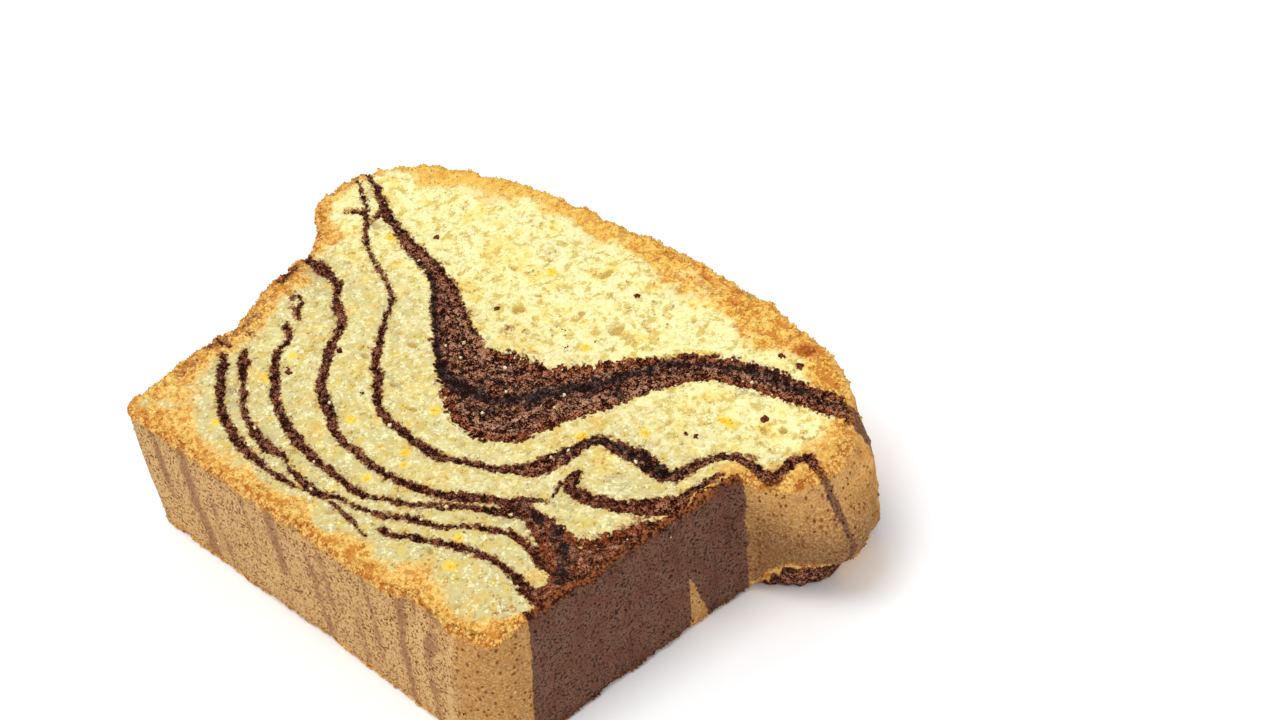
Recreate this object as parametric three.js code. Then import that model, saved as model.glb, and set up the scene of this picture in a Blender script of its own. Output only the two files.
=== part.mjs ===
// One slice of marble loaf cake, lying on one cut face with the other cut face up.
// Millimetres, +Z up. X runs across the loaf, Y from its flat base to its domed top, and Z
// through the thickness of the slice. The origin is in the middle of the resting face.
import * as THREE from "three";

const { lerp, smoothstep } = THREE.MathUtils;

// The loaf's section, as baked in a tin that flares: Y is measured from the base here.
const BASE_WIDTH = 84;
const LEFT_BASE_CORNER = 2.5;
const RIGHT_BASE_CORNER = 7.5;
const WALL_HEIGHT = 48;
const WALL_TOP_WIDTH = 98.4;
const LIP_WIDTH = 118.6;
const LIP_HEIGHT = 61;
const DOME_HEIGHT = 86;
const SLICE_THICKNESS = 26.5;

// The left wall bows in and meets the lip lower, in a softer curve. These are half widths and
// heights: its curve's handle, its top, and the lip's handle above it.
const LEFT_WALL_BOW = [42.2, 24];
const LEFT_WALL_TOP = [49.6, 45.5];
const LEFT_UNDERCUT = [50.2, 52];
const LEFT_TURN_DROP = 7.5;

// How far the lip and the dome bulge, as the reach of their curves' handles.
const LIP_UNDERCUT_RISE = 4;
const LIP_TURN_DROP = 9.5;
const SHOULDER_RISE = 18;
const CROWN_REACH = 33;

// The right lip swells with depth, fullest some way above the resting face, and its lower
// edge has broken off. Both set in across X under the lip, and die out up Y on the dome.
const LIP_SWELL = 5.4;
const LIP_SWELL_TURN = 0.75 * Math.PI;
const LIP_SWELL_FADE = [60, 85];
const LIP_BREAK_HEIGHT = 8.5;
const LIP_BREAK_DEPTH = 1.5;
const LIP_BREAK_FADE = [63, 77];
const LIP_SETS_IN = [49, 52.5];

// The left lip leans in with depth.
const LEFT_LIP_LEAN = 1.2;

// Relief. The tin leaves the sides nearly smooth, and the open top bakes craggy.
const WALL_RELIEF = 0.18;
const DOME_RELIEF = 0.4;
const CRUMB_RELIEF = 0.32;
const RAGGED_RIM_RELIEF = 0.3;
const RAGGED_RIM_SHARE = 0.88;
const CUT_EDGE_ROUND = 0.7;
const BROAD_WAVE = 17;
const FINE_WAVE = 6.5;
const FINE_SHARE = 0.35;
const DIRECTIONS = 14;

// How finely the surface is divided.
const COLUMNS = 192;
const SHOWN_RING_STEP = 0.06;
const RESTING_RING_STEP = 0.25;
const SIDE_HEIGHTS = [0, 0.03, 0.12, 0.3, 0.5, 0.7, 0.88, 0.97, 1];

const MIDDLE = new THREE.Vector2(0, 45);
const GOLDEN_ANGLE = Math.PI * (3 - Math.sqrt(5));
const CRUMB_COLOUR = 0xf2e2a2;
const CRUMB_ROUGHNESS = 0.9;

// The section's outline, counter-clockwise from the middle of the base.
function sectionOutline() {
  const baseHalf = BASE_WIDTH / 2;
  const wallHalf = WALL_TOP_WIDTH / 2;
  const lipHalf = LIP_WIDTH / 2;
  const flare = (wallHalf - baseHalf) / WALL_HEIGHT;
  const shape = new THREE.Shape();
  shape.moveTo(0, 0);
  shape.lineTo(baseHalf - RIGHT_BASE_CORNER, 0);
  shape.quadraticCurveTo(
    baseHalf, 0, baseHalf + flare * RIGHT_BASE_CORNER, RIGHT_BASE_CORNER,
  );
  shape.lineTo(wallHalf, WALL_HEIGHT);
  shape.bezierCurveTo(
    wallHalf, WALL_HEIGHT + LIP_UNDERCUT_RISE,
    lipHalf, LIP_HEIGHT - LIP_TURN_DROP,
    lipHalf, LIP_HEIGHT,
  );
  shape.bezierCurveTo(
    lipHalf, LIP_HEIGHT + SHOULDER_RISE, CROWN_REACH, DOME_HEIGHT, 0, DOME_HEIGHT,
  );
  shape.bezierCurveTo(
    -CROWN_REACH, DOME_HEIGHT, -lipHalf, LIP_HEIGHT + SHOULDER_RISE, -lipHalf, LIP_HEIGHT,
  );
  shape.bezierCurveTo(
    -lipHalf, LIP_HEIGHT - LEFT_TURN_DROP,
    -LEFT_UNDERCUT[0], LEFT_UNDERCUT[1],
    -LEFT_WALL_TOP[0], LEFT_WALL_TOP[1],
  );
  shape.quadraticCurveTo(
    -LEFT_WALL_BOW[0], LEFT_WALL_BOW[1],
    -baseHalf - flare * LEFT_BASE_CORNER, LEFT_BASE_CORNER,
  );
  shape.quadraticCurveTo(-baseHalf, 0, LEFT_BASE_CORNER - baseHalf, 0);
  shape.closePath();
  return shape.getSpacedPoints(COLUMNS).slice(0, COLUMNS);
}

// An uneven field of about -1 to 1: waves of one length that run in evenly spread directions.
function waves(x, y, z, length, seed) {
  let sum = 0;
  for (let i = 0; i < DIRECTIONS; i++) {
    const along = 1 - (2 * i + 1) / DIRECTIONS;
    const across = Math.sqrt(1 - along * along);
    const turn = GOLDEN_ANGLE * (i + seed);
    const path = across * (Math.cos(turn) * x + Math.sin(turn) * y) + along * z;
    sum += Math.sin((2 * Math.PI * path) / length + turn * turn);
  }
  return sum / Math.sqrt(DIRECTIONS);
}

// Broad lumps with finer ones on them.
function lumps(x, y, z) {
  return waves(x, y, z, BROAD_WAVE, 1) + FINE_SHARE * waves(x, y, z, FINE_WAVE, 2);
}

// The outline at a height in the slice: its edges are rounded by the knife, and its relief
// grows from the smooth tin wall to the open dome.
function sideRing(outline, height) {
  const edge = Math.min(height, SLICE_THICKNESS - height);
  const inward = Math.max(0, CUT_EDGE_ROUND - edge);
  return outline.map((point, i) => {
    const before = outline[(i + COLUMNS - 1) % COLUMNS];
    const after = outline[(i + 1) % COLUMNS];
    const tangent = after.clone().sub(before).normalize();
    const open = smoothstep(point.y, WALL_HEIGHT, LIP_HEIGHT);
    const out = lerp(WALL_RELIEF, DOME_RELIEF, open) * lumps(point.x, point.y, height) - inward;
    const x = point.x + tangent.y * out;
    const y = point.y - tangent.x * out;
    return shapedLip(new THREE.Vector3(x, y, height));
  });
}

// How far a point of the sides belongs to the lip on a side, 1 for the right and -1 for the
// left, and is below the height where the lip's changes die out.
function onLip(point, side, fade) {
  const above = point.x * side > 0 ? 1 : 0;
  const under = point.y > LIP_HEIGHT ? above : smoothstep(point.x * side, ...LIP_SETS_IN);
  return under * (1 - smoothstep(point.y, ...fade));
}

// A point of the sides, moved where it is on a lip: outwards with depth on the right, and up
// to the break, and inwards on the left. The rim of the resting face draws back a little
// under the break.
function shapedLip(point) {
  const depth = 1 - point.z / SLICE_THICKNESS;
  const swollen = onLip(point, 1, LIP_SWELL_FADE);
  const broken = onLip(point, 1, LIP_BREAK_FADE);
  point.x += LEFT_LIP_LEAN * onLip(point, -1, LIP_SWELL_FADE) * depth;
  if (point.z === 0) return point.setX(point.x - LIP_BREAK_DEPTH * broken);
  point.x += LIP_SWELL * swollen * Math.sin(LIP_SWELL_TURN * depth);
  point.z += LIP_BREAK_HEIGHT * broken * depth;
  return point;
}

// Rings of a cut face from its rim to its middle. A ring has half the points of the rim once
// it is half as long, and so on. The height of each point comes from a function.
function faceRings(rim, step, heightAt) {
  const rings = [];
  for (let share = 1 - step; share > step / 2; share -= step) {
    const every = 2 ** Math.floor(Math.log2(1 / share));
    const ring = rim.filter((_, i) => i % every === 0).map((point) => {
      const x = MIDDLE.x + share * (point.x - MIDDLE.x);
      const y = MIDDLE.y + share * (point.y - MIDDLE.y);
      return new THREE.Vector3(x, y, heightAt(x, y, share));
    });
    rings.push(ring);
  }
  rings.push([new THREE.Vector3(MIDDLE.x, MIDDLE.y, heightAt(MIDDLE.x, MIDDLE.y, 0))]);
  return rings;
}

// The upper cut face: uneven crumb, more ragged towards the rim.
function shownHeight(x, y, share) {
  const ragged = smoothstep(share, RAGGED_RIM_SHARE, 1);
  const relief = CRUMB_RELIEF + RAGGED_RIM_RELIEF * ragged;
  return SLICE_THICKNESS + relief * lumps(x, y, SLICE_THICKNESS);
}

// Joins two neighbouring rings with triangles that face out. Their counts are equal, or one
// is a whole multiple of the other.
function joinRings(low, high, triangles) {
  const steps = Math.max(low.count, high.count);
  const at = (ring, i) => ring.first + (Math.floor((i * ring.count) / steps) % ring.count);
  for (let i = 0; i < steps; i++) {
    const [a, b] = [at(low, i), at(low, i + 1)];
    const [d, c] = [at(high, i), at(high, i + 1)];
    if (a !== b) triangles.push(a, b, c);
    if (c !== d) triangles.push(a, c, d);
  }
}

// A closed skin over rings that run from the middle of the resting face, up the sides, to
// the middle of the shown face.
function skinOver(rings) {
  const positions = rings.flat().flatMap((point) => point.toArray());
  const triangles = [];
  let first = 0;
  let low = null;
  for (const ring of rings) {
    const high = { first, count: ring.length };
    if (low) joinRings(low, high, triangles);
    first += ring.length;
    low = high;
  }
  const skin = new THREE.BufferGeometry();
  skin.setAttribute("position", new THREE.Float32BufferAttribute(positions, 3));
  skin.setIndex(triangles);
  return skin;
}

// The whole slice, with the middle of its footprint over the origin.
function sliceGeometry() {
  const outline = sectionOutline();
  const sides = SIDE_HEIGHTS.map((share) => sideRing(outline, share * SLICE_THICKNESS));
  const resting = faceRings(sides[0], RESTING_RING_STEP, () => 0);
  const shown = faceRings(sides[sides.length - 1], SHOWN_RING_STEP, shownHeight);
  const skin = skinOver([...resting.reverse(), ...sides, ...shown]);
  skin.computeBoundingBox();
  const middle = skin.boundingBox.getCenter(new THREE.Vector3());
  skin.translate(-middle.x, -middle.y, 0);
  skin.computeVertexNormals();
  return skin;
}

const crumb = new THREE.MeshStandardMaterial({
  color: CRUMB_COLOUR,
  roughness: CRUMB_ROUGHNESS,
  metalness: 0,
});
const slice = new THREE.Mesh(sliceGeometry(), crumb);
slice.name = "cake_slice";

const cake = new THREE.Group();
cake.add(slice);
export default cake;
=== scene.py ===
"""Dresses one slice of marble loaf cake, lying on a pale floor with a cut face up.

The slice is one closed mesh whose points carry what the batter and the oven did there: how
deep in a cocoa ribbon they lie, how toasted they are, and which crust they belong to; they
also carry where shade is painted, in hollows and under the right lip. The finishes read those
values and add the grain of the crumb, with painted shade in its creases and pores and painted
highlights on the tops of its grains. Grains of crumb, flecks of zest and grains of cocoa are
meshes of their own.

Sizes are millimetres in the loaf's own frame: X across the loaf from the middle of its
base, Y up from the base to the dome, Z from the resting cut face to the shown one. They
become the model's metres when a mesh is made.
"""

import logging
import math
from collections.abc import Iterable, Sequence
from dataclasses import dataclass
from enum import Enum

import bmesh
import bpy
import numpy as np
from mathutils import Color, Matrix, Vector, noise
from mathutils.geometry import delaunay_2d_cdt


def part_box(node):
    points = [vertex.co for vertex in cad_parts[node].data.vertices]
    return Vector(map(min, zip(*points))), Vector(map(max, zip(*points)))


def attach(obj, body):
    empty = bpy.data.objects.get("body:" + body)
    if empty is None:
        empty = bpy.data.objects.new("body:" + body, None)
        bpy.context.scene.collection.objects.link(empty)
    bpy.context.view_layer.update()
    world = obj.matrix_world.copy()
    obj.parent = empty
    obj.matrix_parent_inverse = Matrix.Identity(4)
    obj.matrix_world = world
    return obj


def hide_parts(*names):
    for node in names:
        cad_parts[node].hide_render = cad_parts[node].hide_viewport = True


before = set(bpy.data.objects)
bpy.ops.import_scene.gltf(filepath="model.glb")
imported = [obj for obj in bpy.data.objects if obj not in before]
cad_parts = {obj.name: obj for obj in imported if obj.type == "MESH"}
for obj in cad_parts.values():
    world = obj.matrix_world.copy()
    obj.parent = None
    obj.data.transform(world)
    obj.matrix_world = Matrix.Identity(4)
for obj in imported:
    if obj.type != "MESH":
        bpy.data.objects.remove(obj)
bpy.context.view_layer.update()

log = logging.getLogger("marble_cake")

MM = 0.001
NODE = "cake_slice"
BODY = "root"
GOLDEN_ANGLE = math.pi * (3 - math.sqrt(5))
ROW_RISE = math.sqrt(0.75)  # height of a triangle whose sides are 1
TINY = 1e-9
WELD = 1e-6
INSIDE_FACES = 1  # asks the triangulation for the faces inside the rim
SEED = 20

Array = np.ndarray
Colour = tuple[int, int, int]
Span = tuple[float, float]
Pair = tuple[float, float]
Triple = tuple[float, float, float]
Piece = bpy.types.Object
Material = bpy.types.Material


# ---------- small maths


def smoothstep(value: Array | float, low: float, high: float) -> Array:
    """Eases from 0 at low to 1 at high."""
    t = np.clip((np.asarray(value, float) - low) / (high - low), 0, 1)
    return t * t * (3 - 2 * t)


def fade(value: Array | float, low: float, high: float) -> Array:
    """Eases from 1 at low to 0 at high."""
    return 1 - smoothstep(value, low, high)


def between(start: Array | float, end: Array | float, share: Array | float) -> Array:
    """What lies a share of the way from start to end."""
    return start + (end - start) * share


def rows(kind: type, *values: tuple) -> tuple:
    """Things of one kind, each made from its own row of values."""
    return tuple(kind(*row) for row in values)


def along_turn(turn: float) -> Pair:
    """The direction at a turn from X, as X and Y."""
    return math.cos(turn), math.sin(turn)


def across_turn(turn: float) -> Pair:
    """The direction square to that at a turn from X, as X and Y."""
    return -math.sin(turn), math.cos(turn)


def waves(points: Array, length: float, seed: int, directions: int = 14) -> Array:
    """An uneven field of about -1 to 1, from waves that run in evenly spread directions.

    Args:
        points: Places in the loaf, one a row.
        length: Length of the waves.
        seed: Turns the directions, for a field of its own.
        directions: How many waves are summed.

    Returns:
        The field's value at each place.
    """
    total = np.zeros(len(points))
    for i in range(directions):
        along = 1 - (2 * i + 1) / directions
        across = math.sqrt(1 - along * along)
        turn = GOLDEN_ANGLE * (i + seed)
        way = np.array([across * math.cos(turn), across * math.sin(turn), along])
        total += np.sin(2 * math.pi * (points @ way) / length + turn * turn)
    return total / math.sqrt(directions)


@dataclass(frozen=True)
class Relief:
    """Uneven relief: the size of its lumps, how many finer ones lie on them, and its seed."""

    size: float
    octaves: int
    seed: int
    seed_shift: float = 31.7
    fall: float = 1.0
    finer: float = 2.0
    crease: float = 2.4

    def rough(self, points: Array) -> Array:
        """The relief at each place, of about -1 to 1.

        Args:
            points: Places on the slice, one a row.

        Returns:
            One number a place.
        """
        places = points / self.size + self.seed_shift * self.seed
        kind = (self.fall, self.finer, self.octaves)
        return np.array([noise.fractal(Vector(p), *kind) for p in places])

    def puffed(self, points: Array) -> Array:
        """The same like a crust of crumbs: rounded tops with sharp creases."""
        return 1 - self.crease * np.abs(self.rough(points))


def bezier(handles: Sequence[Pair], steps: int = 60) -> Array:
    """Points along a Bezier curve, without its first point.

    Args:
        handles: The curve's three or four handles.
        steps: How many points.

    Returns:
        The points, one a row.
    """
    t = np.linspace(0, 1, steps + 1)[1:, None]
    order = len(handles) - 1
    curve = np.zeros((steps, 2))
    for i, handle in enumerate(handles):
        curve += math.comb(order, i) * (1 - t) ** (order - i) * t**i * np.array(handle, float)
    return curve


# ---------- the loaf's form


@dataclass(frozen=True)
class LoafSection:
    """The loaf cut across: a tin that flares, an overhanging lip and a dome."""

    base_width: float = 84.0
    left_corner: float = 2.5
    right_corner: float = 7.5
    wall_height: float = 48.0
    wall_top_width: float = 98.4
    lip_width: float = 118.6
    lip_height: float = 61.0
    dome_height: float = 86.0
    undercut_rise: float = 4.0
    turn_drop: float = 9.5
    shoulder_rise: float = 18.0
    crown_reach: float = 33.0
    left_wall_bow: Pair = (42.2, 24.0)
    left_wall_top: Pair = (49.6, 45.5)
    left_undercut: Pair = (50.2, 52.0)
    left_turn_drop: float = 7.5

    def foot(self, corner: float) -> Array:
        """Half of the base and its rounded corner.

        Args:
            corner: How far the corner is rounded.

        Returns:
            Points from the middle of the base outwards.
        """
        base = self.base_width / 2
        slope = (self.wall_top_width / 2 - base) / self.wall_height
        turn = ((base - corner, 0.0), (base, 0.0), (base + slope * corner, corner))
        return np.vstack([[(0.0, 0.0), turn[0]], bezier(turn)])

    def top(self) -> Array:
        """Half of the dome.

        Returns:
            Points from the lip to the crown.
        """
        lip = self.lip_width / 2
        shoulder = (lip, self.lip_height + self.shoulder_rise)
        crown = ((self.crown_reach, self.dome_height), (0.0, self.dome_height))
        return bezier(((lip, self.lip_height), shoulder, *crown))

    def right_half(self) -> Array:
        """The right half of the outline, with a straight wall.

        Returns:
            Points from the middle of the base to the crown.
        """
        wall, lip = self.wall_top_width / 2, self.lip_width / 2
        underside = (
            (wall, self.wall_height),
            (wall, self.wall_height + self.undercut_rise),
            (lip, self.lip_height - self.turn_drop),
            (lip, self.lip_height),
        )
        foot = self.foot(self.right_corner)
        return np.vstack([foot, underside[:1], bezier(underside), self.top()])

    def left_half(self) -> Array:
        """The left half of the outline, mirrored to the right: its wall bows in.

        Returns:
            Points from the middle of the base to the crown.
        """
        lip = self.lip_width / 2
        foot = self.foot(self.left_corner)
        wall = (foot[-1], self.left_wall_bow, self.left_wall_top)
        turn = ((lip, self.lip_height - self.left_turn_drop), (lip, self.lip_height))
        underside = (self.left_wall_top, self.left_undercut, *turn)
        return np.vstack([foot, bezier(wall), bezier(underside), self.top()])

    def outline(self, count: int) -> Array:
        """The whole outline, counter-clockwise from the middle of the base.

        Args:
            count: How many points.

        Returns:
            Evenly spaced points, one a row.
        """
        loop = np.vstack([self.right_half(), self.left_half()[-2::-1] * (-1, 1)])
        steps = np.linalg.norm(np.diff(loop, axis=0), axis=1)
        path = np.concatenate([[0], np.cumsum(steps)])
        places = np.linspace(0, path[-1], count + 1)[:-1]
        return np.column_stack([np.interp(places, path, loop[:, axis]) for axis in (0, 1)])


@dataclass(frozen=True)
class SliceForm:
    """The slice: how thick it is cut, its relief, and the lip that swells and breaks."""

    section: LoafSection = LoafSection()
    thickness: float = 26.5
    middle: Pair = (0.0, 45.0)
    wall_relief: float = 0.18
    dome_relief: float = 0.4
    crumb_relief: float = 0.32
    ragged_rim_relief: float = 0.3
    cut_edge_round: float = 0.5
    broad_wave: float = 17.0
    fine_wave: float = 6.5
    fine_share: float = 0.35
    lip_swell: float = 5.4
    lip_swell_turn: float = 0.75 * math.pi
    lip_swell_fade: Span = (60.0, 85.0)
    lip_break_height: float = 8.5
    lip_break_fade: Span = (63.0, 77.0)
    lip_break_depth: float = 1.3
    lip_sets_in: Span = (49.0, 52.5)
    left_lip_lean: float = 1.2

    def lumps(self, points: Array) -> Array:
        """Broad lumps with finer ones on them."""
        fine = self.fine_share * waves(points, self.fine_wave, 2)
        return waves(points, self.broad_wave, 1) + fine

    def side_ring(self, outline: Array, height: float) -> Array:
        """The outline at a height in the slice, with its relief and rounded cut edges.

        Args:
            outline: The section's outline.
            height: Height above the resting face.

        Returns:
            Places in the loaf, one for each point of the outline.
        """
        tangent = np.roll(outline, -1, 0) - np.roll(outline, 1, 0)
        tangent /= np.linalg.norm(tangent, axis=1)[:, None]
        places = np.column_stack([outline, np.full(len(outline), height)])
        edge = min(height, self.thickness - height)
        openness = smoothstep(outline[:, 1], self.section.wall_height, self.section.lip_height)
        relief = between(self.wall_relief, self.dome_relief, openness)
        out = relief * self.lumps(places) - max(0.0, self.cut_edge_round - edge)
        places[:, 0] += tangent[:, 1] * out
        places[:, 1] -= tangent[:, 0] * out
        return self.swollen_lip(places)

    def on_lip(self, x: Array, y: Array) -> Array:
        """How far a place of the sides is on the right lip, or on the left for -X, 0 to 1."""
        return np.where(y > self.section.lip_height, x > 0, smoothstep(x, *self.lip_sets_in))

    def broken(self, x: Array, y: Array) -> Array:
        """How far a place of the sides is within the lip's broken stretch, 0 to 1."""
        return self.on_lip(x, y) * fade(y, *self.lip_break_fade)

    def swollen_lip(self, places: Array) -> Array:
        """Moves the lips: the right one outwards with depth and up to its break, the left one in.

        Args:
            places: Places on the sides, one a row.

        Returns:
            The moved places.
        """
        x, y, z = places.T
        depth = 1 - z / self.thickness
        low = fade(y, *self.lip_swell_fade)
        swell = self.lip_swell * self.on_lip(x, y) * low * np.sin(self.lip_swell_turn * depth)
        lean = self.left_lip_lean * depth * self.on_lip(-x, y) * low
        lift = self.lip_break_height * self.broken(x, y) * depth
        return np.column_stack([x + swell + lean, y, z + lift])


# ---------- the marbling


@dataclass(frozen=True)
class Ribbon:
    """A sheet of cocoa batter, cut across: stations of X, Y and half width."""

    name: str
    stations: tuple[Triple, ...]
    thinnest: float = 0.15

    def smooth(self, step: float = 1.2) -> Array:
        """The stations joined by a smooth curve.

        Args:
            step: Rough distance between its points.

        Returns:
            X, Y and half width, one point a row.
        """
        knots = np.array(self.stations, float)
        ends = np.vstack([2 * knots[0] - knots[1], knots, 2 * knots[-1] - knots[-2]])
        pieces = [knots[:1]]
        for a, b, c, d in zip(ends, ends[1:], ends[2:], ends[3:]):
            count = max(1, round(float(np.linalg.norm((c - b)[:2])) / step))
            t = (np.arange(1, count + 1) / count)[:, None]
            bend = (2 * a - 5 * b + 4 * c - d) * t**2 + (3 * b - a - 3 * c + d) * t**3
            pieces.append(0.5 * (2 * b + (c - a) * t + bend))
        curve = np.vstack(pieces)
        curve[:, 2] = np.maximum(curve[:, 2], self.thinnest)
        return curve


RIBBONS = (
    Ribbon("broad ribbon", (
        (-60, 69.8, 0.5), (-53.6, 66.9, 0.75), (-49.2, 64.7, 0.9), (-44.6, 62.2, 1.1),
        (-39.2, 60, 1.15), (-34.3, 58.4, 1.5),
        (-28, 57, 1.7), (-23, 55, 1.9), (-20, 53.3, 2.3), (-16, 50.1, 2.8), (-11, 46.7, 3.4),
        (-6, 43.4, 4.3), (-1, 41.2, 5.5), (5, 40.9, 8.6), (9.5, 40.4, 8.9), (13.3, 44.2, 7.0),
        (17.3, 49.6, 5.5), (21, 55.6, 4.5), (25, 60.8, 3.7), (29.5, 65, 3.1), (35, 67.6, 2.8),
        (41, 68.8, 2.7), (47, 69.8, 2.5), (52, 70.8, 2.7), (60, 71.5, 2.6), (68, 72, 2.4),
    )),
    Ribbon("broad ribbon's lower strand", (
        (-61, 68, 0.5), (-58, 66.5, 0.45), (-54.7, 64.6, 0.4),
        (-50.8, 62.2, 0.6), (-48.2, 60.4, 0.4),
    )),
    Ribbon("broad ribbon's link", (
        (-46.2, 62, 0.6), (-45.6, 60.4, 0.6), (-45.2, 58.6, 0.5),
    )),
    Ribbon("upper thread", (
        (-51.6, 58, 0.4), (-49.7, 59.1, 0.6), (-47.2, 59.3, 0.7),
        (-42.6, 55.2, 0.6), (-37.6, 52, 0.5),
        (-31, 49.2, 0.45), (-25, 45.6, 0.6), (-22.5, 41.5, 0.6), (-19.5, 37.7, 0.8),
        (-15.5, 32.5, 0.8), (-13.5, 31.9, 1.0), (-10, 28.1, 0.8), (-5, 25.5, 0.8), (1, 24.6, 0.9),
        (8, 24.1, 1.1), (13, 25.9, 0.8), (19, 28.4, 1.0), (23, 31.5, 1.7), (24.3, 34.5, 2.0),
        (25.3, 38, 1.3), (26.5, 41.5, 1.2), (28, 42.7, 1.3), (33, 43.2, 1.7), (38, 43, 1.6),
        (41.4, 43.3, 1.5), (42.6, 46.4, 1.1), (44.2, 50, 1.1),
        (46.2, 51.9, 1.0), (49.5, 52.4, 1.1),
        (52.2, 52.2, 1.2), (54, 52.7, 1.1), (53.9, 55.3, 0.9),
        (54.2, 57.5, 0.9), (55.3, 58.8, 0.9),
        (57.6, 58, 0.95), (60.7, 57, 0.95), (63, 56.4, 0.8), (67, 55.6, 0.75),
    )),
    Ribbon("middle thread", (
        (-52, 45.8, 0.9), (-46, 45, 1.3), (-43, 44.4, 1.5), (-39, 43.8, 0.9), (-36.5, 43, 0.8),
        (-34, 40.3, 0.8), (-31, 38.2, 1.0), (-28.5, 36.8, 1.1), (-26.5, 34, 0.8),
        (-24.5, 30.5, 1.1), (-22, 27.5, 1.0), (-19.5, 24.3, 1.0), (-16, 22, 1.1), (-12, 20, 1.0),
        (-8.5, 17.8, 0.9), (-4, 17.2, 0.8), (3, 16.3, 0.9), (9, 16.8, 0.8), (15, 18.5, 1.0),
        (21, 21.3, 1.0), (24, 23, 0.9), (27, 26, 0.7), (29.3, 27.2, 0.4),
    )),
    Ribbon("left blob", (
        (-50, 41, 0.5), (-46.8, 40, 0.5), (-45.3, 38, 0.6), (-44.2, 36.8, 0.3),
    )),
    Ribbon("left flake", (
        (-40, 36.9, 0.4), (-38.4, 36.2, 0.5), (-37.2, 34.2, 0.6), (-35.4, 32.9, 0.5),
    )),
    Ribbon("lower thread", (
        (-35.8, 30.4, 0.6), (-32.3, 28.3, 0.8), (-31, 24.5, 0.8),
        (-27.5, 21, 0.9), (-23, 17.2, 0.9),
        (-18, 14.9, 0.9), (-12, 12.8, 1.0), (-5, 11.8, 0.8), (4, 11.3, 0.7), (8, 12.3, 0.5),
        (14, 15, 0.6), (21.5, 19.3, 0.7), (26.5, 22, 1.0), (28, 23.3, 1.2),
    )),
    Ribbon("second lowest thread", (
        (-36.5, 21.8, 0.6), (-34, 19.5, 1.0), (-30, 16, 0.6), (-24, 11.6, 0.7), (-21, 10.5, 0.7),
        (-17, 9.2, 1.0), (-14, 9, 1.0), (-11, 9.3, 0.5), (-8, 7.9, 0.6), (-1, 7.4, 0.9),
        (3, 8.7, 0.6), (8, 9.2, 0.5), (14.5, 12, 0.8), (20.5, 14, 0.6), (25, 17.2, 0.5),
        (29, 18.9, 0.6), (33, 19.3, 0.8), (37, 18.3, 1.1), (40, 18, 1.3),
    )),
    Ribbon("lowest thread", (
        (-38, 18.5, 0.5), (-36, 16.8, 0.9), (-33.5, 14, 0.9), (-28, 10, 0.8), (-21, 7.2, 0.9),
        (-16, 6.2, 0.8), (-8.5, 5.6, 0.6), (-5, 5.9, 0.4), (-2.5, 6.9, 0.4),
    )),
    Ribbon("faint thread", ((2, 7.3, 0.4), (6, 6.9, 0.4), (10, 6.2, 0.35), (12.5, 5.6, 0.25))),
    Ribbon("lower right thread", (
        (13, 8.2, 0.6), (16, 8.3, 0.7), (21.5, 11.2, 0.7), (27.5, 13.4, 0.8), (33.5, 14.2, 0.6),
        (37, 13.6, 0.9), (40, 13, 1.2), (43, 12.8, 1.5),
    )),
    Ribbon("dark bank", (
        (25, 23.3, 0.9), (28, 23.8, 1.5), (31, 23.8, 1.8), (35, 22.6, 2.3), (39, 21.5, 3.2),
        (42, 20.5, 4.0), (44, 24, 3.5), (45, 28, 3.0), (46.5, 33, 2.2),
    )),
    Ribbon("dark bank's foot", ((42, 20.5, 3.5), (43, 16.5, 2.3), (43, 13, 1.6))),
    Ribbon("hooked thread", (
        (28.7, 35.3, 0.7), (29.5, 33.5, 1.2), (30.5, 31.8, 1.2), (33, 31.5, 1.2), (36, 32.3, 1.3),
        (39, 33.6, 1.4), (41.5, 35, 1.5), (43.5, 37, 1.8), (45.5, 38.5, 1.8), (46, 41, 1.3),
        (47, 45, 1.0), (48, 47.5, 0.5),
    )),
    Ribbon("hook's tail", ((28.2, 32, 0.4), (29.3, 29.8, 0.4), (29.8, 28.2, 0.35))),
    Ribbon("left strand", ((-43.5, 21, 0.2), (-41.5, 20.4, 0.35), (-39, 20.8, 0.3))),
    Ribbon("upper left strand", ((-42, 26, 0.1), (-41, 25, 0.25), (-38.4, 25, 0.25))),
)

DARK_SEAMS = (
    Ribbon("seam under the broad ribbon", (
        (-30, 56.4, 0.4), (-22, 52.4, 0.7), (-17, 47.9, 0.9), (-12, 43.6, 1.0), (-7, 39.5, 1.2),
        (-4, 37.8, 1.4), (0, 37.8, 1.5), (5, 39, 1.5), (9, 41, 1.6), (13, 45, 1.7),
        (16.5, 50, 1.5), (19.5, 55, 1.2), (24, 61.8, 0.9), (30, 66.8, 0.8), (38, 69.6, 0.9),
        (46, 70.4, 0.8),
    )),
    Ribbon("dark crumb in the broad ribbon", ((20.4, 52.6, 0.8), (21.6, 52.2, 1.0))),
    Ribbon("seam low in the broad ribbon", ((-1, 36.6, 0.3), (4, 36, 0.5), (9, 36.8, 0.3))),
    Ribbon("seam in the dark bank", (
        (27, 24, 0.4), (33, 24, 0.6), (39, 22, 0.9), (42, 17, 0.7),
    )),
    Ribbon("seam in the upper thread", (
        (24, 36, 0.5), (28, 42.6, 0.5), (34, 43, 0.7), (41, 43.6, 0.7),
    )),
)

LIGHT_SEAMS = (
    Ribbon("light seam along the broad ribbon", (
        (12, 36.5, 0.4), (16, 42, 0.7), (19.5, 47.5, 0.9), (22.5, 52.5, 0.8), (26, 58, 0.6),
    )),
    Ribbon("light upper bank of the broad ribbon", (
        (-14, 50.3, 0.5), (-8, 47.4, 0.9), (-2, 45.2, 1.2), (3, 44.8, 1.1),
    )),
    Ribbon("light lower bank of the broad ribbon", (
        (3, 34.3, 0.5), (7, 34.2, 0.9), (11, 36, 0.8),
    )),
)


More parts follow.
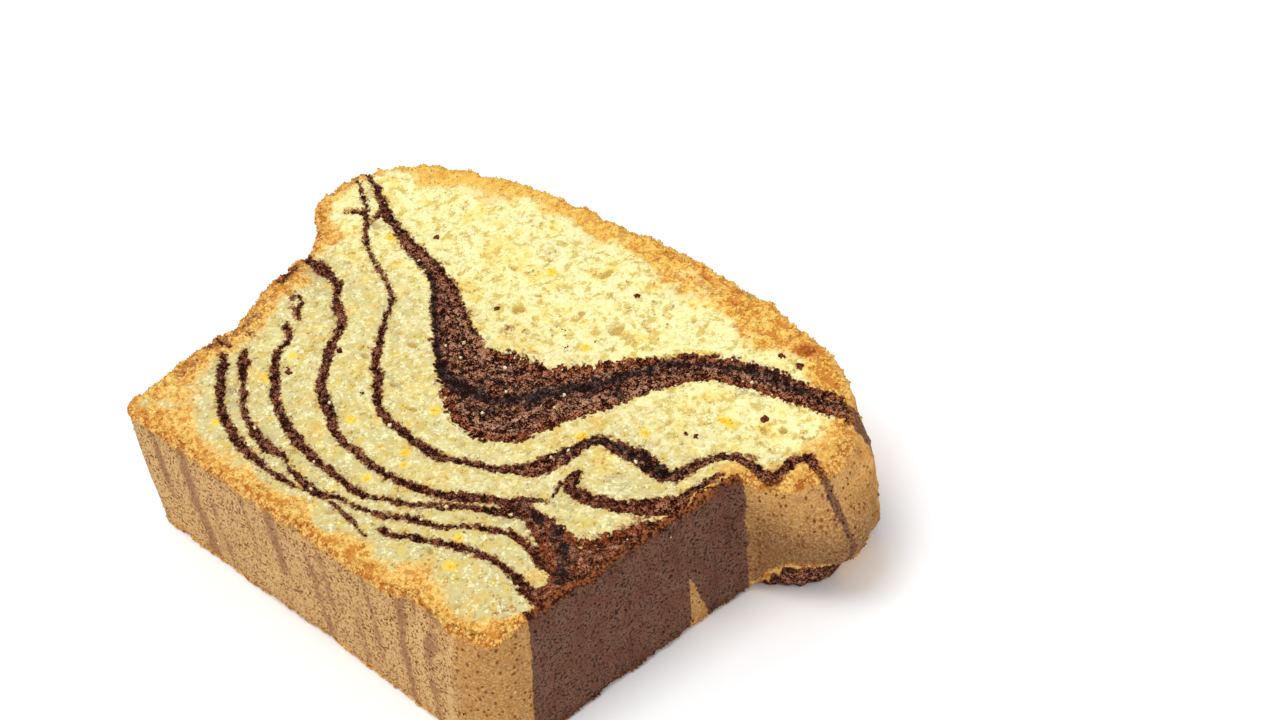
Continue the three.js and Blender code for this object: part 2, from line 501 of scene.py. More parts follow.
@dataclass(frozen=True)
class Marbling:
    """Where the cocoa batter runs, on every face of the slice."""

    form: SliceForm
    lift_with_depth: float = 4.5
    lip_lift: float = 2.6
    drift: float = 2.2
    drift_wave: float = 46.0
    drift_seeds: tuple[int, int] = (5, 8)
    steady_from: Span = (50.0, 56.0)
    wall_low: float = 9.3
    wall_low_slant: float = 0.1
    wall_high: float = 49.4
    gap_height: float = 38.0
    gap_depth: float = 13.5
    gap_half_width: float = 1.9
    gap_climb: float = 1.8
    reach: float = 5.0

    def undrifted(self, places: Array) -> Array:
        """Where the batter of each place crosses the shown cut face.

        Args:
            places: Places in the loaf, one a row.

        Returns:
            X and Y on the shown face, one place a row.
        """
        depth = (1 - places[:, 2] / self.form.thickness)[:, None]
        free = fade(places[:, 0], *self.steady_from)[:, None]
        drift = np.column_stack([waves(places, self.drift_wave, seed) for seed in self.drift_seeds])
        lift = between(self.lip_lift, self.lift_with_depth, free)
        return places[:, :2] - depth * (self.drift * drift * free + lift * (0, 1))

    def inside(self, flat: Array, ribbons: Iterable[Ribbon]) -> tuple[Array, Array]:
        """How deep places lie in the nearest ribbon, and how broad that ribbon is there.

        Args:
            flat: Where each place crosses the shown face, one a row.
            ribbons: The ribbons that count.

        Returns:
            Depth in millimetres, negative outside, and the ribbon's half width.
        """
        deepest, breadth = np.full(len(flat), -self.reach), np.ones(len(flat))
        for ribbon in ribbons:
            curve = ribbon.smooth()
            margin = self.reach + curve[:, 2].max()
            low, high = curve[:, :2].min(0) - margin, curve[:, :2].max(0) + margin
            near = np.flatnonzero(((flat > low) & (flat < high)).all(1))
            for a, b in zip(curve, curve[1:]):
                line = b[:2] - a[:2]
                offset = flat[near] - a[:2]
                t = np.clip(offset @ line / max(float(line @ line), TINY), 0, 1)
                half = between(a[2], b[2], t)
                depth = half - np.linalg.norm(offset - t[:, None] * line, axis=1)
                deeper = depth > deepest[near]
                deepest[near[deeper]], breadth[near[deeper]] = depth[deeper], half[deeper]
        return deepest, breadth

    def wall_inside(self, places: Array) -> Array:
        """How deep places lie in the cocoa that lines the right wall.

        Args:
            places: Places in the loaf, one a row.

        Returns:
            Depth in millimetres, negative outside.
        """
        x, y, z = places.T
        depth = self.form.thickness - z
        band = np.minimum(y - self.wall_low + self.wall_low_slant * depth, self.wall_high - y)
        down = np.clip((depth - self.gap_depth) / (self.form.thickness - self.gap_depth), 0, 1)
        gap = np.abs(y - self.gap_height - self.gap_climb * down) - self.gap_half_width * down
        band = np.where(depth > self.gap_depth, np.minimum(band, gap), band)
        return np.where(x > 0, band, -self.reach)


# ---------- toasting, zest and pores


@dataclass(frozen=True)
class Toasting:
    """How wide the golden band inside each crust is, on a cut face."""

    base: float = 6.4
    left_wall: float = 7.5
    right_wall: float = 1.6
    right_lip: float = 5.5
    left_lip: float = 5.0
    left_dome: float = 6.0
    right_dome: float = 9.5
    narrowest: float = 0.5
    unevenness: float = 0.4
    uneven_wave: float = 11.0
    seed: int = 11
    middle: Span = (-1.0, 1.0)
    base_to_wall: Span = (2.0, 10.0)
    wall_to_lip: Span = (45.0, 56.0)
    lip_to_dome: Span = (64.0, 76.0)
    dome_widens: Span = (-42.0, 8.0)

    def widths(self, outline: Array) -> Array:
        """The band's width along the outline.

        Args:
            outline: The section's outline.

        Returns:
            The width at each of its points.
        """
        x, y = outline.T
        on_right = smoothstep(x, *self.middle)
        wall = between(self.left_wall, self.right_wall, on_right)
        lip = between(self.left_lip, self.right_lip, on_right)
        dome = between(self.left_dome, self.right_dome, smoothstep(x, *self.dome_widens))
        width = between(self.base, wall, smoothstep(y, *self.base_to_wall))
        width = between(width, lip, smoothstep(y, *self.wall_to_lip))
        return between(width, dome, smoothstep(y, *self.lip_to_dome))


@dataclass(frozen=True)
class Spot:
    """A small thing in the shown cut face: where it is, and its radii across and up."""

    x: float
    y: float
    across: float
    up: float


PORES = rows(
    Spot, (0.2, 73.2, 0.9, 1.7), (13.5, 77.7, 1.0, 0.9), (11.4, 63.5, 1.1, 1.8),
    (-14.4, 40.2, 1.2, 0.6), (-9.6, 31.4, 1.0, 0.5), (-5.5, 57.2, 1.1, 1.4),
    (48.5, 61.4, 0.8, 0.7), (3.5, 63.2, 0.8, 0.7), (-19, 33.5, 0.9, 0.5), (22.5, 9.6, 0.7, 0.5),
    (-2.5, 29.5, 0.8, 0.4), (45.5, 60.2, 0.6, 0.5),
)

ZEST = rows(
    Spot, (-8.2, 68, 1.1, 0.6), (40.4, 57.6, 1.9, 1.2), (0.6, 31.4, 0.9, 0.6),
    (4.3, 21.4, 0.9, 0.6), (-9, 21.8, 1.2, 0.7), (3.5, 13.9, 1.3, 0.5), (24.3, 41, 1.0, 0.9),
    (24.3, 13.9, 0.9, 0.6), (-28.6, 25.6, 0.8, 0.6), (-28.2, 19.8, 0.8, 0.6),
    (-26.5, 7.7, 1.0, 0.6), (27.2, 9.2, 0.8, 0.7), (31.8, 47.7, 1.0, 0.6), (10.6, 56.8, 0.8, 0.6),
    (-39, 57.8, 0.9, 0.8), (6.2, 19.4, 0.6, 0.5),
)

SPECKS = rows(
    Spot, (-32, 62.7, 0.9, 0.7), (8.5, 71.8, 0.7, 0.6), (-8.6, 55, 0.8, 0.5),
    (7.8, 55.2, 0.35, 0.35), (10.7, 59, 0.3, 0.25), (44.3, 61.8, 1.3, 0.7),
    (38.9, 51.7, 0.6, 0.4), (37.2, 51.2, 0.5, 0.35), (-22.8, 31.3, 0.65, 0.6),
    (-26.5, 23.1, 0.9, 0.6), (-12, 26.8, 0.5, 0.45), (-12.6, 42.7, 0.45, 0.5),
    (4.3, 58, 0.3, 0.3), (38, 74.3, 0.9, 0.7), (42, 74, 0.8, 0.6),
)


@dataclass(frozen=True)
class Smear:
    """Cocoa rubbed thinly into the pale crumb: where, its radii, its turn and its strength."""

    x: float
    y: float
    across: float
    up: float
    turn: float
    strength: float


BROWN_SMEARS = rows(
    Smear, (-46.4, 39.4, 1.7, 2.9, 0.2, 1.15), (-40.6, 36, 1.5, 0.9, -0.6, 0.9),
    (-37, 33.6, 2.2, 1.0, -0.6, 1.0), (-42.4, 26.5, 1.3, 4.0, 0.15, 0.7),
    (-38.6, 25.2, 1.8, 0.7, 0.0, 0.7), (-41.6, 19.5, 1.6, 3.0, 0.1, 0.85),
    (-40.6, 13, 1.2, 3.2, 0.1, 0.6), (-49.6, 59.6, 2.2, 1.0, 0.5, 0.9),
    (-44, 31.5, 1.0, 2.5, 0.1, 0.55), (-29.5, 14.8, 3.5, 0.8, -0.6, 0.45),
    (-13, 43, 1.0, 0.6, 0.0, 0.5), (-3, 52.6, 1.1, 0.5, 0.1, 0.6),
    (22.5, 27.5, 1.5, 0.6, 0.5, 0.5), (44.5, 31, 2.0, 3.0, 0.2, 0.5),
    (40, 8.5, 2.5, 1.5, 0.2, 0.45), (-12, 51.4, 1.0, 0.7, 0.0, 0.8),
    (48.5, 54, 1.5, 1.0, 0.3, 0.5),
)

GREY_SMEARS = rows(
    Smear, (-42, 42.2, 3.2, 1.5, 0.1, 0.8), (-38, 39.6, 2.6, 1.8, -0.4, 0.6),
    (-43.3, 58.7, 2.0, 1.3, -0.2, 0.7), (-52.8, 64.9, 3.6, 0.9, -0.35, 0.5),
    (-31.5, 34, 1.2, 3.2, 0.5, 0.5), (-29.5, 13.2, 4.0, 0.8, -0.55, 0.7),
    (-9.2, 31.7, 3.4, 0.7, -0.15, 0.9), (-16, 10.6, 4.5, 0.9, -0.1, 0.6),
    (27, 20.6, 5.0, 0.8, 0.2, 0.7), (32.6, 28.4, 2.5, 1.2, 0.1, 0.8),
    (35.5, 37.6, 3.6, 1.6, 0.1, 0.6), (24.5, 57, 1.6, 3.0, -0.5, 0.5),
    (2.5, 29.2, 4.0, 0.8, 0.0, 0.6), (38, 63.8, 4.5, 1.3, 0.15, 0.6),
    (-24, 44.4, 1.6, 2.4, 0.7, 0.5), (45, 58, 3.0, 1.5, 0.3, 0.5), (-10, 24, 4.0, 1.0, -0.2, 0.5),
    (15, 22, 4.0, 0.9, 0.3, 0.5),
)


SCORCHES = rows(
    Smear, (40.1, 78.0, 1.9, 1.6, 0.1, 1.25), (14.5, 82.6, 1.6, 0.9, 0.1, 0.8),
    (21.6, 83.0, 1.4, 1.0, 0.3, 0.9), (23.4, 80.0, 1.3, 0.8, 0.2, 0.8),
    (27.1, 75.0, 2.4, 0.8, 0.3, 0.7), (-1.4, 81.4, 1.0, 0.8, 0.0, 0.7),
    (7.9, 83.6, 1.1, 0.8, 0.0, 0.7), (32.9, 80.5, 1.6, 0.9, -0.2, 0.6),
    (46.5, 72.5, 1.4, 1.0, 0.2, 0.5), (36.0, 77.0, 1.5, 0.8, 0.3, 0.6),
)


@dataclass(frozen=True)
class BaseStreak:
    """A streak in the base crust: its place at the shown edge, its slant and its strength."""

    x: float
    half_width: float
    strength: float
    slant: float = 0.0
    widen: float = 0.0
    start: float = -5.0
    end: float = 40.0


BASE_STREAKS = (
    BaseStreak(-35.2, 0.8, 0.55, start=2, end=14),
    BaseStreak(-27.2, 1.6, 0.7, slant=0.02),
    BaseStreak(-21, 1.0, 0.35, slant=-0.02, start=8),
    BaseStreak(-4.8, 1.4, 0.65, slant=0.03, end=12),
    BaseStreak(-12.5, 1.0, 0.4, slant=0.05, start=3, end=10),
    BaseStreak(3.4, 0.8, 0.4, start=6),
    BaseStreak(7.0, 0.9, 0.35, end=14),
    BaseStreak(13.0, 1.0, 0.3, start=14),
    BaseStreak(27.0, 0.6, 1.0, start=-2, end=1.5),
    BaseStreak(17.5, 0.8, 0.4, end=18),
    BaseStreak(24.4, 0.8, 0.6, slant=-0.03, start=3),
    BaseStreak(31.0, 1.6, 0.4, slant=-0.1, start=2),
    BaseStreak(10.0, 0.5, -0.35, start=4),
    BaseStreak(21.5, 0.9, -0.45, slant=-0.04, start=10),
    BaseStreak(28.0, 0.55, -0.95, slant=-0.02, widen=0.5),
    BaseStreak(36.0, 0.45, -0.9, slant=-0.17, widen=1.0, start=3),
    BaseStreak(-31.0, 1.2, -0.3, start=4),
)


@dataclass(frozen=True)
class Dent:
    """Where the shown cut edge is pressed in, or stands out if the depth is negative."""

    x: float
    y: float
    reach: float
    depth: float
    fade: float


DENTS = rows(
    Dent, (29.5, 0.0, 6.0, 1.7, 7.0), (38.0, 1.0, 2.6, 0.9, 4.0), (41.6, 3.4, 1.3, -1.1, 1.8),
    (46.5, 21.0, 2.5, -0.5, 2.0), (45.2, 25.5, 1.5, 0.5, 2.0), (53.5, 52.0, 5.0, -1.5, 6.0),
    (58.8, 56.8, 3.0, -0.7, 5.0), (56.8, 69.5, 6.5, 1.1, 4.0), (-49.5, 77.5, 6.5, 1.2, 8.0),
)


# ---------- meshes


def mesh_from_arrays(name: str, points: Array, triangles: Array) -> bpy.types.Mesh:
    """Makes a smooth-shaded mesh.

    Args:
        name: Name of the mesh.
        points: Its points in metres, one a row.
        triangles: Three point numbers a row.

    Returns:
        The mesh.
    """
    mesh = bpy.data.meshes.new(name)
    mesh.vertices.add(len(points))
    mesh.vertices.foreach_set("co", np.ascontiguousarray(points, np.float32).ravel())
    mesh.loops.add(3 * len(triangles))
    mesh.loops.foreach_set("vertex_index", np.ascontiguousarray(triangles, np.int32).ravel())
    mesh.polygons.add(len(triangles))
    mesh.polygons.foreach_set("loop_start", np.arange(0, 3 * len(triangles), 3, dtype=np.int32))
    mesh.update(calc_edges=True)
    mesh.validate()
    mesh.shade_smooth()
    return mesh


def linked_object(name: str, data: bpy.types.ID | None) -> Piece:
    """Puts a mesh, a light or a camera in the scene.

    Args:
        name: Name of the object.
        data: The mesh, light or camera.

    Returns:
        The object.
    """
    made = bpy.data.objects.new(name, data)
    bpy.context.scene.collection.objects.link(made)
    return made


def paint_mesh(mesh: bpy.types.Mesh, paint: dict[str, Array]) -> None:
    """Writes painted values to a mesh's points.

    Args:
        mesh: The mesh.
        paint: Values under the name of each paint, one for each point.
    """
    for name, values in paint.items():
        layer = mesh.attributes.new(name, "FLOAT", "POINT")
        layer.data.foreach_set("value", values.astype(np.float32))


def pebble(subdivisions: int) -> tuple[Array, Array]:
    """A ball of radius 1.

    Args:
        subdivisions: How finely it is divided.

    Returns:
        Its points, and its triangles.
    """
    ball = bmesh.new()
    bmesh.ops.create_icosphere(ball, subdivisions=subdivisions, radius=1.0)
    points = np.array([v.co[:] for v in ball.verts])
    triangles = np.array([[v.index for v in f.verts] for f in ball.faces])
    ball.free()
    return points, triangles


def dressed(piece: Piece, *materials: Material) -> None:
    """Gives a piece its materials and its body, and hides the slice's CAD part.

    Args:
        piece: The piece.
        materials: Its materials, in the order of its faces' numbers.
    """
    for material in materials:
        piece.data.materials.append(material)
    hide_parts(NODE)
    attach(piece, BODY)
    log.info("%s: %d faces", piece.name, len(piece.data.polygons))


class Face(Enum):
    """The two finishes that a face of the slice can have."""

    CUT = 0
    CRUST = 1


# ---------- the slice


@dataclass(frozen=True)
class Zones:
    """Where one look of the loaf gives way to the next: spans of X, Y or depth."""

    thin_thread: Span = (1.2, 2.4)
    broad_from: Span = (-14.0, 8.0)
    narrow_share: float = 0.35
    lower: Span = (42.0, 66.0)
    lowest: Span = (8.0, 26.0)
    lowest_more: float = 0.4
    # painted shade on the lip, growing with depth from the shown face, and painted light near that
    # face
    lip_shade: Span = (0.0, 17.0)
    lip_lit: float = -0.3
    fused_x: Span = (24.0, 38.0)
    fused_y: Span = (30.0, 38.0)
    dome_above_lip: Span = (-2.0, 14.0)
    left_dome_x: Span = (-38.0, 12.0)
    left_dome_y: Span = (58.0, 70.0)
    right_lip_x: Span = (42.0, 50.0)
    right_lip_y: Span = (44.0, 50.0)
    right_lip_top: Span = (58.0, 68.0)
    right_lip_paler: float = 0.6
    base_x: Span = (30.0, 37.0)
    base_y: Span = (5.0, 12.0)
    base_calms: Span = (-30.0, 15.0)
    base_calm: float = 0.35
    streaks_y: Span = (4.0, 9.0)
    streak_starts: Span = (-4.0, 1.0)
    streak_ends: Span = (0.0, 5.0)
    shown_depth: Span = (-3.0, -1.0)
    # painted shade for points that no relief paints
    plain_hollow_shade: float = 0.4

    def browned(self, x: Array, y: Array) -> Array:
        """How dark the oven made the rim: least on the left dome and the right lip.

        Args:
            x: Place across the loaf.
            y: Place above the base.

        Returns:
            How dark, 0 to 1.
        """
        left_dome = fade(x, *self.left_dome_x) * smoothstep(y, *self.left_dome_y)
        right_lip = smoothstep(x, *self.right_lip_x) * smoothstep(y, *self.right_lip_y)
        return 1 - left_dome - self.right_lip_paler * right_lip * fade(y, *self.right_lip_top)

    def coarse(self, x: Array, y: Array) -> Array:
        """How far the crust is the coarse one of the base, 0 to 1."""
        calm = 1 - self.base_calm * smoothstep(x, *self.base_calms)
        return fade(x, *self.base_x) * fade(y, *self.base_y) * calm


@dataclass(frozen=True)
class Pores:
    """Pores of the shown face: how many small ones, their radii, depth and borders."""

    small: int = 260
    radius: Span = (0.4, 1.2)
    shrink: Span = (0.5, 1.0)
    reach: float = 2.0
    flat: float = 0.6
    small_depth: float = 0.5
    small_border: Span = (0.3, 1.3)
    large_depth: float = 0.8
    large_border: Span = (0.4, 1.3)

    def pits(self, shown: Array, draw: np.random.Generator) -> Array:
        """How deep the pores are.

        Args:
            shown: Places on the shown face, one a row.
            draw: The seeded draws.

        Returns:
            Depth in millimetres at each place.
        """
        depth = np.zeros(len(shown))
        for pore in PORES:
            off = np.hypot((shown[:, 0] - pore.x) / pore.across, (shown[:, 1] - pore.y) / pore.up)
            depth = np.maximum(depth, self.large_depth * fade(off, *self.large_border))
        centres = shown[draw.choice(len(shown), self.small, replace=False), :2]
        radii = draw.uniform(*self.radius, self.small) * draw.uniform(*self.shrink)
        turns = draw.uniform(0, math.pi, self.small)
        for centre, radius, turn in zip(centres, radii, turns):
            near = np.flatnonzero(np.abs(shown[:, :2] - centre).max(1) < self.reach * radius)
            offset = shown[near, :2] - centre
            along, across = offset @ along_turn(turn), offset @ across_turn(turn)
            off = np.hypot(along, across / self.flat) / radius
            pit = self.small_depth * radius * fade(off, *self.small_border)
            depth[near] = np.maximum(depth[near], pit)
        return depth


@dataclass(frozen=True)
class CutRelief:
    """Relief of a cut face: torn crumb, coarser where toasted or cocoa, that falls to the rim."""

    crags: Relief = Relief(2.9, 3, 1)
    crag: float = 0.11
    toasted_crag: float = 0.33
    cocoa_crag: float = 0.1
    grit: Relief = Relief(1.2, 2, 7)
    grain: float = 0.18
    toasted_grain: float = 0.14
    cocoa_grain: float = 0.14
    swell: Relief = Relief(5.0, 2, 2)
    swelling: float = 0.2
    ragged_rim: Span = (0.0, 6.0)
    cocoa_border: Span = (-0.5, 0.5)
    cocoa_sunk: float = 0.22
    rim_fall: float = 0.4
    rim_fall_reach: float = 0.5
    # painted shade in hollows: how it follows the crags and the grit, and its range
    hollow_shade_crag: float = 0.75
    hollow_shade_grit: float = 0.9
    hollow_shade: Span = (0.9, -0.5)
    highest: float = 1.3
    top_eases: float = 0.6
    crumbled: Relief = Relief(2.2, 2, 3)
    resting_crumbs: float = 0.05
    break_crumbs: float = 0.8
    break_starts: Span = (0.0, 1.5)
    break_edge: Relief = Relief(3.5, 2, 12)

    def capped(self, height: Array) -> Array:
        """A height that eases off below the highest one allowed."""
        over = np.maximum(height - self.highest + self.top_eases, 0)
        return height - over + self.top_eases * np.tanh(over / self.top_eases)


@dataclass(frozen=True)
class CrustRelief:
    """Relief of the sides: fine against the tin, craggy on the dome, nibbled at the cuts."""

    grain: Relief = Relief(1.3, 3, 4)
    grain_height: float = 0.06
    dome_grain: float = 1.5
    crags: Relief = Relief(3.4, 3, 5)
    crag_height: float = 0.3
    inland_crag: float = 0.2
    clods: Relief = Relief(7.5, 2, 9)
    inland_clod: float = 0.35
    inland: Span = (0.5, 6.0)
    dome_margin: float = 6.0
    # painted shade in the dome's crags: where it starts above the lip, and its range
    hollow_shade_above_lip: Span = (0.0, 14.0)
    hollow_shade: Span = (0.7, -0.5)
    bites: Relief = Relief(5.0, 1, 8)
    bite_more: float = 0.1
    nibbles: Relief = Relief(2.2, 2, 6)
    nibble_more: float = 0.12
    shown_bite: float = 0.8
    shown_nibble: float = 1.3
    shown_reach: float = 0.9
    resting_bite: float = 0.5
    resting_nibble: float = 1.1
    resting_reach: float = 1.0

    def lost(self, points: Array, from_shown: Array, heights: Array) -> Array:
        """How far the cut edges are crumbled and pressed in.

        Args:
            points: Places on the sides, one a row.
            from_shown: Distance of each to the shown cut.
            heights: Distance of each to the resting cut.

        Returns:
            Millimetres inwards at each place.
        """
        bite = np.maximum(0, self.bites.rough(points) + self.bite_more)
        nibble = np.maximum(0, self.nibbles.rough(points) + self.nibble_more)
        shown = self.shown_bite * bite + self.shown_nibble * nibble
        resting = self.resting_bite * bite + self.resting_nibble * nibble
        lost = shown * np.exp(-from_shown / self.shown_reach)
        lost += resting * np.exp(-heights / self.resting_reach)
        for dent in DENTS:
            off = np.hypot(points[:, 0] - dent.x, points[:, 1] - dent.y) / dent.reach
            lost += dent.depth * np.exp(-(off**4)) * np.exp(-((from_shown / dent.fade) ** 2))
        return lost


@dataclass
class SliceMesh:
    """The slice as one closed mesh, with its points painted with what happened there and where
    shade is painted.
    """

    form: SliceForm = SliceForm()
    toasting: Toasting = Toasting()
    zones: Zones = Zones()
    pores: Pores = Pores()
    cut: CutRelief = CutRelief()
    crust: CrustRelief = CrustRelief()
    columns: int = 680
    rows: int = 36
    row_crowding: float = 0.4
    shown_spacing: float = 0.385
    resting_spacing: float = 1.05
    jitter: float = 0.28
    rim_clearance: float = 0.5
    rim_follow: float = 2.5
    rim_rows: int = 6
    cocoa_under_lip: Span = (41.0, 57.5)
    bare_from: float = 46.0
    bare_wave: float = 6.0
    bare_seed: int = 21
    barest: float = 2.5
    lip_crumb_width: float = 0.25
    thread_trim: float = 0.16
    smear_falls: float = 0.7
    stain_spread: float = 0.9
    stain_falls: float = 1.6
    measured_rings: int = 27

    def __post_init__(self) -> None:
        """Sets up the marbling, the outline and the seeded draws."""
        self.marbling = Marbling(self.form)
        self.draw = np.random.default_rng(SEED)
        self.outline = self.form.section.outline(self.columns)
        self.side_count = (self.rows + 1) * self.columns

    def build(self) -> None:
        """Makes the slice's object, in the frame's metres."""
        rings = self._side_rings()
        shown, shown_faces = self._cap(rings[-1], self.shown_spacing, rings[-1, 0, 2])
        resting, resting_faces = self._cap(rings[0], self.resting_spacing, 0.0)
        ring, first = np.arange(self.columns), self.side_count
        inner = first + np.arange(len(shown))
        self.shown_points = np.concatenate([first - self.columns + ring, inner])
        first += len(shown)
        self.resting_points = np.concatenate([ring, first + np.arange(len(resting))])
        caps = [self.shown_points[shown_faces], self.resting_points[resting_faces][:, ::-1]]
        sides = self._side_faces()
        self.faces = np.vstack([sides, *caps])
        self.face_kinds = np.full(len(self.faces), Face.CUT.value, np.int32)
        self.face_kinds[:len(sides)] = Face.CRUST.value
        self.smooth = np.vstack([rings.reshape(-1, 3), shown, resting])
        self.paint = self._paint()
        self.points = self._relief()
        self.normals = self._normals()
        self.offset = self._offset()
        mesh = mesh_from_arrays("cake_slice_crumb", (self.points + self.offset) * MM, self.faces)
        paint_mesh(mesh, self.paint)
        self.piece = linked_object("marble_cake_slice", mesh)

    def dress(self, crumb: Material, crust: Material) -> None:
        """Puts crumb on the cut faces and crust on the sides."""
        dressed(self.piece, crumb, crust)
        self.piece.data.polygons.foreach_set("material_index", self.face_kinds)

    def _side_rings(self) -> Array:
        """Rings up the sides, closer together towards both cut edges.

        Returns:
            Places in the loaf, by ring and by point of the outline.
        """
        even = np.linspace(0, 1, self.rows + 1)
        crowded = 0.5 - 0.5 * np.cos(math.pi * even)
        share = (1 - self.row_crowding) * even + self.row_crowding * crowded
        self.ring_heights = share * self.form.thickness
        return np.array([self.form.side_ring(self.outline, h) for h in self.ring_heights])

    def _side_faces(self) -> Array:
        """Triangles between neighbouring side rings.

        Returns:
            Three point numbers a row, facing out.
        """
        i = np.arange(self.columns)
        after = (i + 1) % self.columns
        strips = []
        for row in range(self.rows):
            low, high = row * self.columns, (row + 1) * self.columns
            strips.append(np.column_stack([low + i, low + after, high + after]))
            strips.append(np.column_stack([low + i, high + after, high + i]))
        return np.vstack(strips)

    def _cap(self, rim: Array, spacing: float, height: float) -> tuple[Array, Array]:
        """Fills a rim with evenly spread points and triangles.

        Args:
            rim: The ring of points round the cut face.
            spacing: Distance between points inside it.
            height: Height of the new points.

        Returns:
            The new points, and triangles that number the rim first.
        """
        low, high = rim[:, :2].min(0), rim[:, :2].max(0)
        across = np.arange(low[0], high[0], spacing)
        up = np.arange(low[1], high[1], spacing * ROW_RISE)
        grid = np.array([(x + (k % 2) * spacing / 2, y) for k, y in enumerate(up) for x in across])
        grid += self.draw.uniform(-self.jitter, self.jitter, grid.shape) * spacing
        grid = grid[self._within(grid, rim[:, :2])]
        grid = grid[self._rim_gap(grid, rim[:, :2])[0] > self.rim_clearance * spacing]
        flat = np.vstack([rim[:, :2], grid])
        loop = [(i, (i + 1) % len(rim)) for i in range(len(rim))]
        spots = [Vector(p) for p in flat]
        _, _, faces, source, _, _ = delaunay_2d_cdt(spots, loop, [], INSIDE_FACES, WELD)
        triangles = np.array([origin[0] for origin in source])[np.array(faces)]
        ab = flat[triangles[:, 1]] - flat[triangles[:, 0]]
        ac = flat[triangles[:, 2]] - flat[triangles[:, 0]]
        turned = ab[:, 0] * ac[:, 1] - ab[:, 1] * ac[:, 0] < 0
        triangles[turned] = triangles[turned][:, ::-1]
        return np.column_stack([grid, np.full(len(grid), height)]), triangles

    def _within(self, grid: Array, rim: Array) -> Array:
        """Which places lie inside a rim that every spoke from the middle crosses once.

        Args:
            grid: The places, as X and Y.
            rim: Points of the rim, as X and Y.

        Returns:
            True for each place inside.
        """
        middle = np.array(self.form.middle)
        spoke, ray = rim - middle, grid - middle
        angle = np.arctan2(spoke[:, 1], spoke[:, 0])
        order = np.argsort(angle)
        lengths = np.linalg.norm(spoke, axis=1)[order]
        turn = np.arctan2(ray[:, 1], ray[:, 0])
        reach = np.interp(turn, angle[order], lengths, period=2 * math.pi)
        return np.linalg.norm(ray, axis=1) < reach

    @staticmethod
    def _rim_gap(flat: Array, rim: Array, at_once: int = 4000) -> tuple[Array, Array]:
        """Distance of each place to the nearest rim point.

        Args:
            flat: The places, as X and Y.
            rim: Points of the rim, as X and Y.
            at_once: How many places are measured together.

        Returns:
            The distances, and which rim point is nearest.
        """
        gaps, which = [], []
        for part in np.array_split(flat, max(1, len(flat) // at_once)):
            distance = np.linalg.norm(part[:, None] - rim[None], axis=2)
            which.append(distance.argmin(1))
            gaps.append(distance.min(1))
        return np.concatenate(gaps), np.concatenate(which)

    def _paint(self) -> dict[str, Array]:
        """What each point shows, from its place in the loaf.

        Returns:
            Values under the name of each paint, one for each point.
        """
        points = self.smooth
        x, y, z = points.T
        form, zones, lip_height = self.form, self.zones, self.form.section.lip_height
        flat = self.marbling.undrifted(points)
        cocoa, breadth = self.marbling.inside(flat, RIBBONS)
        cocoa -= self.thread_trim * fade(breadth, *zones.thin_thread)
        self.rim_gap, self.rim_nearest = self._rim_gap(points[:, :2], self.outline)
        toasting = self.toasting
        uneven = waves(points, toasting.uneven_wave, toasting.seed)
        width = toasting.widths(self.outline)[self.rim_nearest]
        width = np.maximum(width * (1 + toasting.unevenness * uneven), toasting.narrowest)
        left_breadth = between(zones.narrow_share, 1.0, smoothstep(x, *zones.broad_from))
        lower = fade(y, *zones.lower) + zones.lowest_more * fade(y, *zones.lowest)
        # painted shade on the lip: below 0 near the shown face for painted light, 1 deep under it
        shade = between(zones.lip_lit, 1.0, smoothstep(form.thickness - z, *zones.lip_shade))
        dome = smoothstep(y, *(lip_height + rise for rise in zones.dome_above_lip))
        return {
            "cocoa": np.maximum(cocoa, self._bared()),
            "breadth": breadth * left_breadth,
            "lower": lower,
            # the lip's painted shade and painted light
            "underside": form.on_lip(x, y) * shade,
            "browned": zones.browned(x, y),
            "fused": smoothstep(x, *zones.fused_x) * fade(y, *zones.fused_y),
            "seam": self.marbling.inside(flat, DARK_SEAMS)[0],
            "light_seam": self.marbling.inside(flat, LIGHT_SEAMS)[0],
            "wall": self.marbling.wall_inside(points),
            "toast": np.clip(1 - self.rim_gap / width, 0, 1),
            "dome": dome,
            "edge": self._from_cut(),
            "stain": self._glow(ZEST),
            "smear": self._smeared(BROWN_SMEARS),
            "haze": self._smeared(GREY_SMEARS),
            "scorch": self._smeared(SCORCHES),
            "streak": self._streaks(),
            "coarse": zones.coarse(x, y),
            "pit": np.zeros(len(points)),
            # painted shade in hollows, which darkens the finishes there
            "hollow_shade": np.full(len(points), zones.plain_hollow_shade),
        }

    def _from_cut(self) -> Array:
        """How far each point of the crust is from a cut edge, or from the break.

        Returns:
            Distance in millimetres, 0 on the cut faces.
        """
        form, sides = self.form, slice(self.side_count)
        heights = np.repeat(self.ring_heights, self.columns)
        broken = form.broken(*self.smooth[sides, :2].T)
        squeeze = 1 - broken * form.lip_break_height / form.thickness
        edge = np.zeros(len(self.smooth))
        edge[sides] = np.minimum(form.thickness - heights, heights) * squeeze
        return edge

    def _bared(self) -> Array:
        """Where the broken lip bares cocoa crumb.

        Returns:
            Depth in that crumb in millimetres, negative outside.
        """
        points = self.smooth
        x, y, z = points.T
        inner = np.arange(len(points)) >= self.side_count
        under = np.flatnonzero(inner & (z == 0) & (x > self.bare_from))
        gap, _ = self._rim_gap(points[under, :2], points[:self.columns, :2])
        low, high = self.cocoa_under_lip
        uneven = waves(points[under], self.bare_wave, self.bare_seed)
        band = np.minimum(y[under] - low, high - y[under]) + uneven
        bared = np.full(len(points), -self.marbling.reach)
        bared[under] = np.minimum(np.minimum(band, gap - self.lip_crumb_width), self.barest)
        return bared

